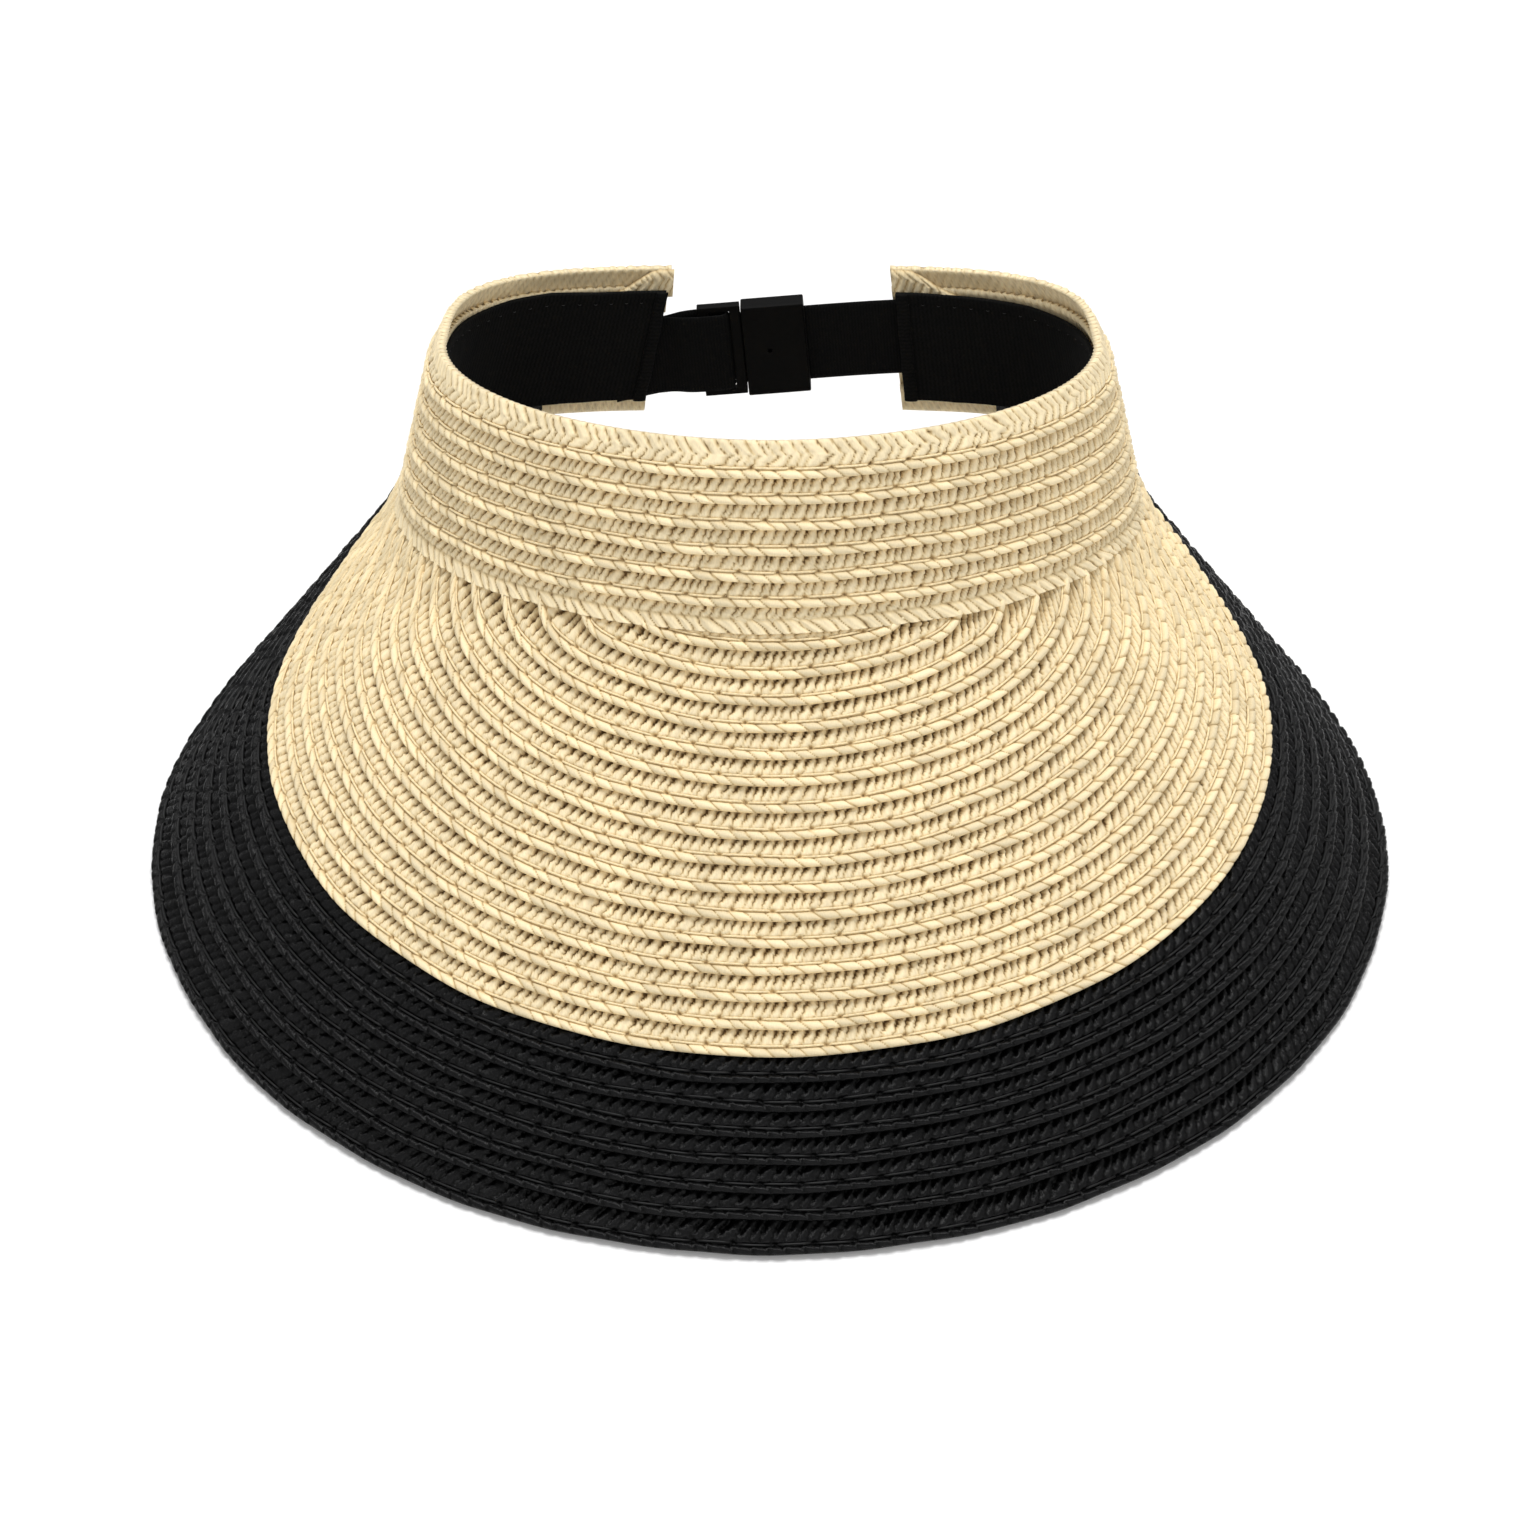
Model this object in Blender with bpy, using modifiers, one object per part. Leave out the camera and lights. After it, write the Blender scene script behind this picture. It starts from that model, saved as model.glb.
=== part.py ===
"""A roll-up straw sun visor with a strap and a two-part buckle, standing on its brim edge on a table.

Crown frame (millimetres): Z runs up the crown band's axis, the brim points to -Y, X is sideways.
Angles go round the crown from the front (0) to the wearer's left and right, positive towards +X.
The crown frame leans back by TABLE_LEAN, so that the brim's edge lies on the table at Z = 0.
Closure frame (millimetres): X runs along the strap, Y points outwards, away from the head, and Z up.
"""

import math

import bmesh
import bpy
import numpy as np
from mathutils import Matrix, Vector

MM = 0.001

# Crown band: the plan is an oval, squarer at the back, and wider at its lower edge.
CROWN_HALF_WIDTH = 82.2
CROWN_FRONT = 73.9
CROWN_BACK = 62.2
FRONT_POWER = 1.91
BACK_POWER = 3.64
FLARE_SIDE = 10.3
FLARE_FRONT = 8.6
FLARE_BACK = 8.4
CROWN_HEIGHT_FRONT = 44.5
CROWN_HEIGHT_BACK = 43.2
LOWER_EDGE_RISE = 0.3  # how much higher the lower edge is at the back than in front
LEFT_END_TOP = -158.3  # the angles at which the band stops at the back
LEFT_END_FOOT = -154.6
RIGHT_END_TOP = 152.9
RIGHT_END_FOOT = 153.0

# Brim: straight lines that run down and out from the band's lower edge, and die away under the band
# at BRIM_END. Each setting is given at BRIM_ANGLES on both sides, and runs smoothly between them.
BRIM_END = 137.5
BRIM_ANGLES = (0.0, 40.0, 75.0, 105.0, BRIM_END)
BRIM_LENGTHS = (146.7, 139.0, 112.4, 65.6, 0.0)
BRIM_SLOPES = (58.3, 55.6, 50.8, 50.6, 79.6)  # degrees below the crown frame's horizontal
BRIM_SWEEPS = (0.0, 1.5, 4.0, 15.3, 14.4)  # degrees by which the lines turn towards the back
BRIM_ROOT_INSET = 2.3

# Braid: each row laps over the next one, like a shingle.
BRAID_PITCH = 6.34
RIM_ROW_SHOWN = 1.2  # in pitches: nothing laps over the outermost row
BRAID_WIDTH = 9.3
BRAID_THICKNESS = 0.9
BRAID_RISE = 2.0  # from a row's upper edge to its lower edge, across the surface
TOP_ROW_SHOWN = 8.7
CROWN_ROWS = 7
NATURAL_BRIM_ROWS = 17
BLACK_BRIM_ROWS = 7
ROOT_TUCK = 3.4  # how far the brim rows reach up behind the band
ROW_END_WIDTH = 1.4

# Sweatband, inside the crown band.
SWEATBAND_THICKNESS = 1.0
SWEATBAND_TOP = 0.19  # fractions of the band's height
SWEATBAND_FOOT = 0.90
SWEATBAND_DEPTH = 2.4
SWEATBAND_DEPTH_AT_ENDS = 5.45
SWEATBAND_END_BACK = 0.9  # degrees by which it stops short of the band's ends
HEM_WIDTH = 3.2
HEM_THICKNESS = 0.8
HEM_GAP = 0.4
HEM_RADIUS = 77.75  # how far the hems stand from the middle of the crown
FOLD_LENGTH = 16.0
FOLD_DEPTH = 2.5

# Closure: strap and buckle.
CLOSURE_CENTRE = (0.2, 62.8, 21.3)
CLOSURE_LEAN = 11.0
STRAP_ROLL = 5.2
WEBBING_WIDTH = 22.5
WEBBING_THICKNESS = 1.1
TAIL_DROP = 2.2  # how far the webbing's tail hangs below its first layer
ELASTIC_WIDTH = 22.0
ELASTIC_THICKNESS = 1.3
BUCKLE_HEIGHT = 26.5
CLIP_LEFT = -18.2
CLIP_RIGHT = -7.0
CLIP_THICKNESS = 2.6
CLIP_BAR = 2.8
TONGUE_HEIGHT = 20.6
TONGUE_TIP = 2.6
TONGUE_THICKNESS = 1.2
LATCH_ROOT = -5.7
LATCH_TIP = 1.2
LATCH_HEIGHT = 7.6
BARB_LEFT = -3.2
BARB_RIGHT = 0.7
BARB_HEIGHT = 6.4
SOCKET_LEFT = -6.7
SOCKET_RIGHT = 9.8
SOCKET_INNER_FACE = -2.9
SOCKET_OUTER_FACE = 2.6
CAVITY_RIGHT = 3.2
CAVITY_INNER = -1.8
CAVITY_OUTER = 1.2
POCKET_LEFT = 5.0
EYE_RADIUS = 0.65
BUCKLE_ROUNDING = 0.4
GAP = 0.3

TABLE_LEAN = 18.5

NATURAL_STRAW = (0.80, 0.66, 0.42)
BLACK_STRAW = (0.012, 0.012, 0.013)
LINING_BLACK = (0.010, 0.010, 0.011)
WEBBING_BLACK = (0.012, 0.012, 0.012)
PLASTIC_BLACK = (0.016, 0.016, 0.016)


def clear_scene():
    for thing in list(bpy.data.objects):
        bpy.data.objects.remove(thing, do_unlink=True)


def new_collection(name, hidden):
    made = bpy.data.collections.new(name)
    made.hide_render = hidden
    bpy.context.scene.collection.children.link(made)
    return made


def new_material(name, colour, roughness):
    made = bpy.data.materials.new(name)
    made.use_nodes = True
    shader = made.node_tree.nodes["Principled BSDF"]
    shader.inputs["Base Color"].default_value = (*colour, 1.0)
    shader.inputs["Roughness"].default_value = roughness
    shader.inputs["Metallic"].default_value = 0.0
    return made


def new_empty(name, parent, location, rotation):
    made = bpy.data.objects.new(name, None)
    PARTS.objects.link(made)
    made.parent = parent
    made.location = location
    made.rotation_euler = rotation
    return made


def new_part(name, mesh, parent, colour, roughness):
    made = bpy.data.objects.new(name, mesh)
    PARTS.objects.link(made)
    made.parent = parent
    mesh.materials.append(new_material(name, colour, roughness))
    return made


# Surfaces. Each takes arrays of angles in degrees and gives points as rows of X, Y, Z in millimetres.


def oval(half_width, front, back, angles):
    """An oval's points, and its outward unit normals, at these angles."""
    turn = np.radians(angles)
    sine, cosine = np.sin(turn), np.cos(turn)
    depth = np.where(cosine >= 0, front, back)
    power = np.where(cosine >= 0, FRONT_POWER, BACK_POWER)
    reach = (np.abs(sine / half_width) ** power + np.abs(cosine / depth) ** power) ** (-1 / power)
    x, y = reach * sine, -reach * cosine
    across = np.sign(x) * np.abs(x / half_width) ** (power - 1) / half_width
    along = np.sign(y) * np.abs(y / depth) ** (power - 1) / depth
    size = np.hypot(across, along)
    return np.stack([x, y], -1), np.stack([across / size, along / size], -1)


def crown_edges(angles):
    """The band's upper and lower edges."""
    back_share = (1 - np.cos(np.radians(angles))) / 2
    rise = LOWER_EDGE_RISE * back_share
    height = CROWN_HEIGHT_FRONT + (CROWN_HEIGHT_BACK - CROWN_HEIGHT_FRONT) * back_share
    top, _ = oval(CROWN_HALF_WIDTH, CROWN_FRONT, CROWN_BACK, angles)
    foot, _ = oval(
        CROWN_HALF_WIDTH + FLARE_SIDE, CROWN_FRONT + FLARE_FRONT, CROWN_BACK + FLARE_BACK, angles
    )
    return np.column_stack([top, rise + height]), np.column_stack([foot, rise])


def crown_surface(angles, share):
    """Points at this share of the way from the band's upper edge to its lower edge."""
    top, foot = crown_edges(angles)
    return top + (foot - top) * np.reshape(share, (-1, 1))


def brim_setting(values, angles):
    """A brim setting at these angles: a smooth curve through its values, even about the front."""

    def terms(at):
        bends = [np.clip(at - bend, 0, None) ** 3 for bend in BRIM_ANGLES[1:3]]
        return np.stack([at**0, at**2, at**3, *bends], -1)

    return terms(np.abs(angles)) @ np.linalg.solve(terms(np.array(BRIM_ANGLES)), np.array(values))


def brim_surface(angles, distance):
    """Points this far down the brim's lines from the band's lower edge."""
    _, foot = crown_edges(angles)
    _, normal = oval(
        CROWN_HALF_WIDTH + FLARE_SIDE, CROWN_FRONT + FLARE_FRONT, CROWN_BACK + FLARE_BACK, angles
    )
    sweep = np.radians(brim_setting(BRIM_SWEEPS, angles)) * np.sign(angles)
    out_x = normal[:, 0] * np.cos(sweep) - normal[:, 1] * np.sin(sweep)
    out_y = normal[:, 0] * np.sin(sweep) + normal[:, 1] * np.cos(sweep)
    slope = np.radians(brim_setting(BRIM_SLOPES, angles))
    line = np.column_stack([out_x * np.cos(slope), out_y * np.cos(slope), -np.sin(slope)])
    inset = np.column_stack([normal, np.zeros(len(normal))]) * BRIM_ROOT_INSET
    return foot - inset + line * np.reshape(distance, (-1, 1))


def brim_reach(angles):
    """The brim's length along its lines."""
    return np.clip(brim_setting(BRIM_LENGTHS, angles), 0, None)


def offset_point(surface, angles, place, height):
    """Points on a surface, raised by this height along its outward normal."""
    small_turn, small_step = 0.02, 0.002
    forward = surface(angles + small_turn, place) - surface(angles - small_turn, place)
    down = surface(angles, place + small_step) - surface(angles, place - small_step)
    normal = np.cross(down, forward)
    normal /= np.linalg.norm(normal, axis=1)[:, None]
    return surface(angles, place) + normal * np.reshape(height, (-1, 1))


def brim_row_edges(angles):
    """Distances down the brim's lines of the row edges, from the outer edge inwards.

    Each row edge stays the same distance from the brim's outer edge all the way round.
    """
    rim_angles = np.arange(-BRIM_END, BRIM_END + 0.1, 0.25)
    rim = brim_surface(rim_angles, brim_reach(rim_angles))
    inner_rows = np.arange(NATURAL_BRIM_ROWS + BLACK_BRIM_ROWS)
    wanted = BRAID_PITCH * np.concatenate([[0], inner_rows + RIM_ROW_SHOWN])
    innermost = -8.0
    edges = []
    for angle, reach in zip(angles, brim_reach(angles)):
        places = np.linspace(reach, innermost, 241)
        line = brim_surface(np.full(len(places), angle), places)
        from_rim = np.linalg.norm(line[:, None] - rim[None], axis=2).min(axis=1)
        edges.append(np.interp(wanted, np.maximum.accumulate(from_rim), places))
    return np.array(edges).T


def round_stations(limit):
    """Angles from 0 to this limit, closer together where the band bends more."""
    most_arc, most_turn = 10.0, 7.0
    fine = np.arange(0, limit + 0.25, 0.5)
    points, normals = oval(
        CROWN_HALF_WIDTH + FLARE_SIDE, CROWN_FRONT + FLARE_FRONT, CROWN_BACK + FLARE_BACK, fine
    )
    arc = np.linalg.norm(np.diff(points, axis=0), axis=1)
    bend = np.degrees(np.arccos(np.clip(np.sum(normals[1:] * normals[:-1], axis=1), -1, 1)))
    kept, arc_left, bend_left = [0.0], 0.0, 0.0
    for angle, step, turned in zip(fine[1:], arc, bend):
        arc_left += step
        bend_left += turned
        if arc_left >= most_arc or bend_left >= most_turn:
            kept.append(float(angle))
            arc_left = bend_left = 0.0
    return np.array([-angle for angle in kept[:0:-1]] + kept)


# Meshes.


def strip_mesh(name, first, second):
    """An open strip between two lines of points with equal counts."""
    grid = bmesh.new()
    rails = [[grid.verts.new(Vector(point) * MM) for point in line] for line in (first, second)]
    for i in range(len(first) - 1):
        grid.faces.new((rails[0][i], rails[0][i + 1], rails[1][i + 1], rails[1][i]))
    mesh = bpy.data.meshes.new(name)
    grid.to_mesh(mesh)
    grid.free()
    return mesh


def solid_strip(name, first, second, thickness, parent, colour, roughness=0.8):
    part = new_part(name, strip_mesh(name, first, second), parent, colour, roughness)
    shell = part.modifiers.new("thickness", "SOLIDIFY")
    shell.thickness = thickness * MM
    shell.offset = 0.0
    return part


def box_mesh(name, low, high):
    block = bmesh.new()
    bmesh.ops.create_cube(block, size=1.0)
    middle = (Vector(low) + Vector(high)) / 2
    size = Vector(high) - Vector(low)
    stretch = Matrix.Diagonal((*(size * MM), 1.0))
    bmesh.ops.transform(block, matrix=Matrix.Translation(middle * MM) @ stretch, verts=block.verts)
    mesh = bpy.data.meshes.new(name)
    block.to_mesh(mesh)
    block.free()
    return mesh


def combine(part, operation, other):
    """Cuts a helper from a part, or joins it on."""
    CUTTERS.objects.link(other)
    other.parent = part.parent
    other.hide_render = True
    other.display_type = "WIRE"
    step = part.modifiers.new(other.name, "BOOLEAN")
    step.operation = operation
    step.solver = "EXACT"
    step.object = other


def box_helper(name, low, high):
    return bpy.data.objects.new(name, box_mesh(name, low, high))


def round_edges(part, width):
    edge = part.modifiers.new("rounding", "BEVEL")
    edge.width = width * MM
    edge.segments = 2
    edge.limit_method = "ANGLE"
    edge.angle_limit = math.radians(40)


# The straw.


def row_heights(share):
    """How far a row stands off the surface: in at its upper edge (0), out at its lower edge (1)."""
    return BRAID_RISE * (np.asarray(share, float) - 0.5)


def band_angles(share, short_by=0.0):
    """The band's stations at this share of its height, with its own two ends."""
    left = LEFT_END_TOP + (LEFT_END_FOOT - LEFT_END_TOP) * share + short_by
    right = RIGHT_END_TOP + (RIGHT_END_FOOT - RIGHT_END_TOP) * share - short_by
    return np.concatenate([[left], STATIONS, [right]])


def make_crown_rows():
    shown = (1 - TOP_ROW_SHOWN / SLANT_HEIGHT) / (CROWN_ROWS - 1)
    for number in range(CROWN_ROWS):
        lower = TOP_ROW_SHOWN / SLANT_HEIGHT + number * shown
        upper = lower - (BRAID_WIDTH if number else TOP_ROW_SHOWN) / SLANT_HEIGHT
        lines = []
        for share, height in ((lower, row_heights(1)), (upper, row_heights(0))):
            angles = band_angles(share)
            place = np.full(len(angles), share)
            lines.append(offset_point(crown_surface, angles, place, height))
        name = f"band_row_{number + 1:02d}"
        solid_strip(name, *lines, BRAID_THICKNESS, CROWN, NATURAL_STRAW)


def row_stations(end, tucked_from):
    """The stations of a row that stops at this angle on both sides, with a corner where it meets the band."""
    corners = np.unique([-end, -tucked_from, tucked_from, end])
    least_step = 1.0
    clear = np.abs(STATIONS[:, None] - corners).min(axis=1) > least_step
    return np.sort(np.concatenate([corners, STATIONS[clear & (np.abs(STATIONS) < end)]]))


def make_brim_rows():
    """The brim's rows. Each one's two ends are cut off behind the band's lower edge."""
    fine = np.linspace(0, BRIM_END, 200)
    edges = brim_row_edges(fine)
    row_end = ROW_END_WIDTH - ROOT_TUCK
    count = NATURAL_BRIM_ROWS + BLACK_BRIM_ROWS
    for inward in range(count):
        outer = max(inward, 1)
        shown = BRAID_PITCH * (RIM_ROW_SHOWN if outer == 1 else 1)
        widths = (edges[outer - 1] - edges[outer]) * BRAID_WIDTH / shown
        end = np.interp(-row_end, -edges[inward], fine)
        tucked_from = np.interp(ROOT_TUCK, widths - edges[inward], fine)
        angles = row_stations(end, tucked_from)
        lower = np.interp(np.abs(angles), fine, edges[inward])
        width = np.interp(np.abs(angles), fine, widths)
        upper = np.maximum(lower - width, -ROOT_TUCK)
        lines = (
            offset_point(brim_surface, angles, lower, row_heights(1)),
            offset_point(brim_surface, angles, upper, row_heights(1 - (lower - upper) / width)),
        )
        number = count - inward
        colour = NATURAL_STRAW if number <= NATURAL_BRIM_ROWS else BLACK_STRAW
        solid_strip(f"brim_row_{number:02d}", *lines, BRAID_THICKNESS, CROWN, colour)


def make_end_folds():
    """The band's upper corners, turned in and lying against the inside of the top row."""
    near_top, near_foot = 0.01, 0.155
    for name, top, side in (("left_end_fold", LEFT_END_TOP, 1), ("right_end_fold", RIGHT_END_TOP, -1)):
        degrees = math.degrees(FOLD_LENGTH / CROWN_BACK) * side
        angles = np.linspace(top + side * 0.3, top + degrees, 5)
        lines = [
            offset_point(crown_surface, angles, np.full(5, share), -FOLD_DEPTH)
            for share in (near_foot, near_top)
        ]
        solid_strip(name, *lines, BRAID_THICKNESS, CROWN, NATURAL_STRAW)


# The sweatband.


def sweatband_depth(angles):
    """It stands off the straw near its ends, where the straps are tucked in behind it."""
    loose, close = 128.0, 143.0
    share = np.clip((np.abs(angles) - loose) / (close - loose), 0, 1)
    return -(SWEATBAND_DEPTH + (SWEATBAND_DEPTH_AT_ENDS - SWEATBAND_DEPTH) * share)


def make_sweatband():
    lines = []
    for share in (SWEATBAND_FOOT, SWEATBAND_TOP):
        angles = band_angles(share, SWEATBAND_END_BACK)
        place = np.full(len(angles), share)
        lines.append(offset_point(crown_surface, angles, place, sweatband_depth(angles)))
    solid_strip("sweatband", *lines, SWEATBAND_THICKNESS, CROWN, LINING_BLACK, 0.9)


def make_hems():
    """The sweatband's ends, folded over on the head side."""
    depth = -(SWEATBAND_DEPTH_AT_ENDS + SWEATBAND_THICKNESS / 2 + HEM_GAP + HEM_THICKNESS / 2)
    wide = math.degrees(HEM_WIDTH / HEM_RADIUS)
    for name, end, side in (("left_sweatband_hem", 0, 1), ("right_sweatband_hem", -1, -1)):
        lines = []
        for share in (SWEATBAND_FOOT, SWEATBAND_TOP):
            edge = band_angles(share, SWEATBAND_END_BACK)[end]
            angles = np.array([edge, edge + side * wide])
            lines.append(offset_point(crown_surface, angles, np.full(2, share), depth))
        solid_strip(name, *lines, HEM_THICKNESS, CROWN, LINING_BLACK, 0.9)


# The closure.


def wall_drop(along):
    """How far the band's back wall has curved in towards the head, this far along the strap."""
    share = np.abs((np.asarray(along, float) + CLOSURE_CENTRE[0]) / CROWN_HALF_WIDTH)
    return CROWN_BACK * (1 - (1 - share**BACK_POWER) ** (1 / BACK_POWER))


def make_left_strap():
    """The webbing comes from behind the sweatband, turns round the clip's outer bar and goes back."""
    bar_side, turn_middle, turn_radius = -21.5, -12.9, 2.15
    inner_layer, outer_layer = -0.35, 1.2
    behind_band = np.linspace(-42.0, -26.0, 4)
    turns = np.radians(np.linspace(-90, 90, 9))
    round_bar = turn_middle + turn_radius * np.cos(turns)
    along = [*behind_band, bar_side, *round_bar, bar_side, *behind_band[::-1]]
    away = [
        *(inner_layer - wall_drop(behind_band)),
        -turn_radius,
        *(turn_radius * np.sin(turns)),
        turn_radius,
        *(outer_layer - wall_drop(behind_band[::-1])),
    ]
    first_of_tail = len(along) - len(behind_band)
    drop = TAIL_DROP * np.clip((np.arange(len(along)) - first_of_tail + 1) / len(behind_band), 0, 1)
    lines = [np.column_stack([along, away, edge - drop]) for edge in (-WEBBING_WIDTH / 2, WEBBING_WIDTH / 2)]
    solid_strip("left_strap", *lines, WEBBING_THICKNESS, CLOSURE, WEBBING_BLACK, 0.85)


def make_right_strap():
    """The elastic runs from the socket's pocket to behind the sweatband."""
    along = np.linspace(POCKET_LEFT + 0.5, 42.0, 10)
    away = -wall_drop(along)
    lines = [
        np.column_stack([along, away, np.full(len(along), edge)])
        for edge in (-ELASTIC_WIDTH / 2, ELASTIC_WIDTH / 2)
    ]
    solid_strip("right_elastic_strap", *lines, ELASTIC_THICKNESS, CLOSURE, WEBBING_BLACK, 0.85)


def make_clip():
    """The clip: a bar frame that holds the webbing, and a flat forked tongue that enters the socket."""
    half, deep = BUCKLE_HEIGHT / 2, CLIP_THICKNESS / 2
    frame = new_part(
        "buckle_clip",
        box_mesh("buckle_clip", (CLIP_LEFT, -deep, -half), (CLIP_RIGHT, deep, half)),
        CLOSURE,
        PLASTIC_BLACK,
        0.45,
    )
    slot_half = WEBBING_WIDTH / 2 + 0.5
    slot = ((CLIP_LEFT + CLIP_BAR, -5, -slot_half), (CLIP_RIGHT - CLIP_BAR, 5, slot_half))
    combine(frame, "DIFFERENCE", box_helper("clip_slot", *slot))
    flat, tall = TONGUE_THICKNESS / 2, TONGUE_HEIGHT / 2
    tongue = ((CLIP_RIGHT - 1, -flat, -tall), (TONGUE_TIP, flat, tall))
    combine(frame, "UNION", box_helper("clip_tongue", *tongue))
    room = LATCH_HEIGHT / 2 + GAP
    fork = ((LATCH_ROOT - GAP, -5, -room), (TONGUE_TIP + 5, 5, room))
    combine(frame, "DIFFERENCE", box_helper("clip_fork", *fork))
    round_edges(frame, BUCKLE_ROUNDING / 2)


def make_latch():
    """The sprung latch between the fork's arms, with the barb that stands in the socket's window."""
    flat, tall = TONGUE_THICKNESS / 2, LATCH_HEIGHT / 2
    latch = new_part(
        "buckle_latch",
        box_mesh("buckle_latch", (0, -flat, -tall), (LATCH_TIP - LATCH_ROOT, flat, tall)),
        CLOSURE,
        PLASTIC_BLACK,
        0.45,
    )
    latch.location = Vector((LATCH_ROOT, 0, 0)) * MM
    round_edges(latch, BUCKLE_ROUNDING / 2)
    barb_top = (BARB_RIGHT, SOCKET_OUTER_FACE - GAP, BARB_HEIGHT / 2)
    combine(latch, "UNION", box_helper("latch_barb", (BARB_LEFT, -flat / 2, -BARB_HEIGHT / 2), barb_top))


def make_socket():
    """The socket: a flat box with the tongue's mouth, the barb's window and the elastic's pocket."""
    half = BUCKLE_HEIGHT / 2
    low = (SOCKET_LEFT, SOCKET_INNER_FACE, -half)
    high = (SOCKET_RIGHT, SOCKET_OUTER_FACE, half)
    socket = new_part("buckle_socket", box_mesh("buckle_socket", low, high), CLOSURE, PLASTIC_BLACK, 0.45)
    round_edges(socket, BUCKLE_ROUNDING)
    tall = TONGUE_HEIGHT / 2 + GAP
    mouth = ((SOCKET_LEFT - 5, CAVITY_INNER, -tall), (CAVITY_RIGHT, CAVITY_OUTER, tall))
    combine(socket, "DIFFERENCE", box_helper("socket_mouth", *mouth))
    window_half = BARB_HEIGHT / 2 + GAP
    window = ((BARB_LEFT - GAP, 0, -window_half), (BARB_RIGHT + 2 * GAP, 9, window_half))
    combine(socket, "DIFFERENCE", box_helper("socket_window", *window))
    pocket_half, pocket_deep = ELASTIC_WIDTH / 2 + GAP, ELASTIC_THICKNESS / 2 + GAP
    pocket = ((POCKET_LEFT, -pocket_deep, -pocket_half), (SOCKET_RIGHT + 5, pocket_deep, pocket_half))
    combine(socket, "DIFFERENCE", box_helper("socket_pocket", *pocket))
    drill = bmesh.new()
    turn = Matrix.Rotation(math.pi / 2, 4, "X")
    bmesh.ops.create_cone(
        drill,
        cap_ends=True,
        segments=20,
        radius1=EYE_RADIUS * MM,
        radius2=EYE_RADIUS * MM,
        depth=3 * MM,
        matrix=Matrix.Translation((0, SOCKET_INNER_FACE * MM, 0)) @ turn,
    )
    mesh = bpy.data.meshes.new("socket_eye")
    drill.to_mesh(mesh)
    drill.free()
    combine(socket, "DIFFERENCE", bpy.data.objects.new("socket_eye", mesh))


def stand_on_table():
    """Moves the crown frame so that the visor stands on Z = 0, centred in X and Y."""
    bpy.context.view_layer.update()
    graph = bpy.context.evaluated_depsgraph_get()
    points = []
    for part in PARTS.objects:
        if part.type != "MESH":
            continue
        mesh = part.evaluated_get(graph).to_mesh()
        flat = np.empty(len(mesh.vertices) * 3, np.float32)
        mesh.vertices.foreach_get("co", flat)
        matrix = np.array(part.matrix_world, float)
        points.append(flat.reshape(-1, 3) @ matrix[:3, :3].T + matrix[:3, 3])
    low = np.min([cloud.min(0) for cloud in points], axis=0)
    high = np.max([cloud.max(0) for cloud in points], axis=0)
    CROWN.location = (-(low[0] + high[0]) / 2, -(low[1] + high[1]) / 2, -low[2])
    bpy.context.view_layer.update()


clear_scene()
PARTS = new_collection("sun_visor", False)
CUTTERS = new_collection("cutters", True)
CROWN = new_empty("crown_frame", None, (0, 0, 0), (-math.radians(TABLE_LEAN), 0, 0))
CLOSURE = new_empty(
    "closure_frame",
    CROWN,
    Vector(CLOSURE_CENTRE) * MM,
    (math.radians(CLOSURE_LEAN), -math.radians(STRAP_ROLL), 0),
)
CLOSURE.rotation_mode = "YXZ"  # rolled in the plane of the leaning back wall
SLANT_HEIGHT = math.hypot(CROWN_HEIGHT_FRONT, FLARE_FRONT)
STATIONS = round_stations(149.0)

make_crown_rows()
make_brim_rows()
make_end_folds()
make_sweatband()
make_hems()
make_left_strap()
make_right_strap()
make_clip()
make_latch()
make_socket()
stand_on_table()
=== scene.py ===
"""The looks of a roll-up straw sun visor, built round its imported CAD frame.

Lengths are in millimetres and angles in degrees, in the crown frame and the closure frame of part.py.
closure() turns closure-frame points into crown-frame ones, and world() turns those into metres in the row
frame. Every straw row is a relief grid: along a row, u is the arc length of its lower edge, and across it,
v is the distance from that edge.
"""

import math

import bpy
import numpy as np
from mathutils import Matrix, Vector

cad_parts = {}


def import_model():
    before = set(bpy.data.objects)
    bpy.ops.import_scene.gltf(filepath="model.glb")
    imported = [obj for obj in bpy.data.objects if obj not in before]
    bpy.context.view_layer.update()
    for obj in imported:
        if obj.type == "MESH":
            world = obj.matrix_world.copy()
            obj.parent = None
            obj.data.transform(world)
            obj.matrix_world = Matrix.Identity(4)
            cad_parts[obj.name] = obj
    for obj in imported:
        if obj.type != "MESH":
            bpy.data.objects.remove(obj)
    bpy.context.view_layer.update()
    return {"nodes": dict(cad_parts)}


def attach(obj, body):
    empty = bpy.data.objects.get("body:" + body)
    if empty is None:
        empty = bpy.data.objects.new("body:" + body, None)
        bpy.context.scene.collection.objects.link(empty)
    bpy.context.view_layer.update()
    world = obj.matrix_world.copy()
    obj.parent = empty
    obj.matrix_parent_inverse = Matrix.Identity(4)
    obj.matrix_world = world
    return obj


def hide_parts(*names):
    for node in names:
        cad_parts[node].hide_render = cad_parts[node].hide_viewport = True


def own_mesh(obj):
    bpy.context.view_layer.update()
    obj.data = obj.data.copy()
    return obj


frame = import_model()

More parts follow.
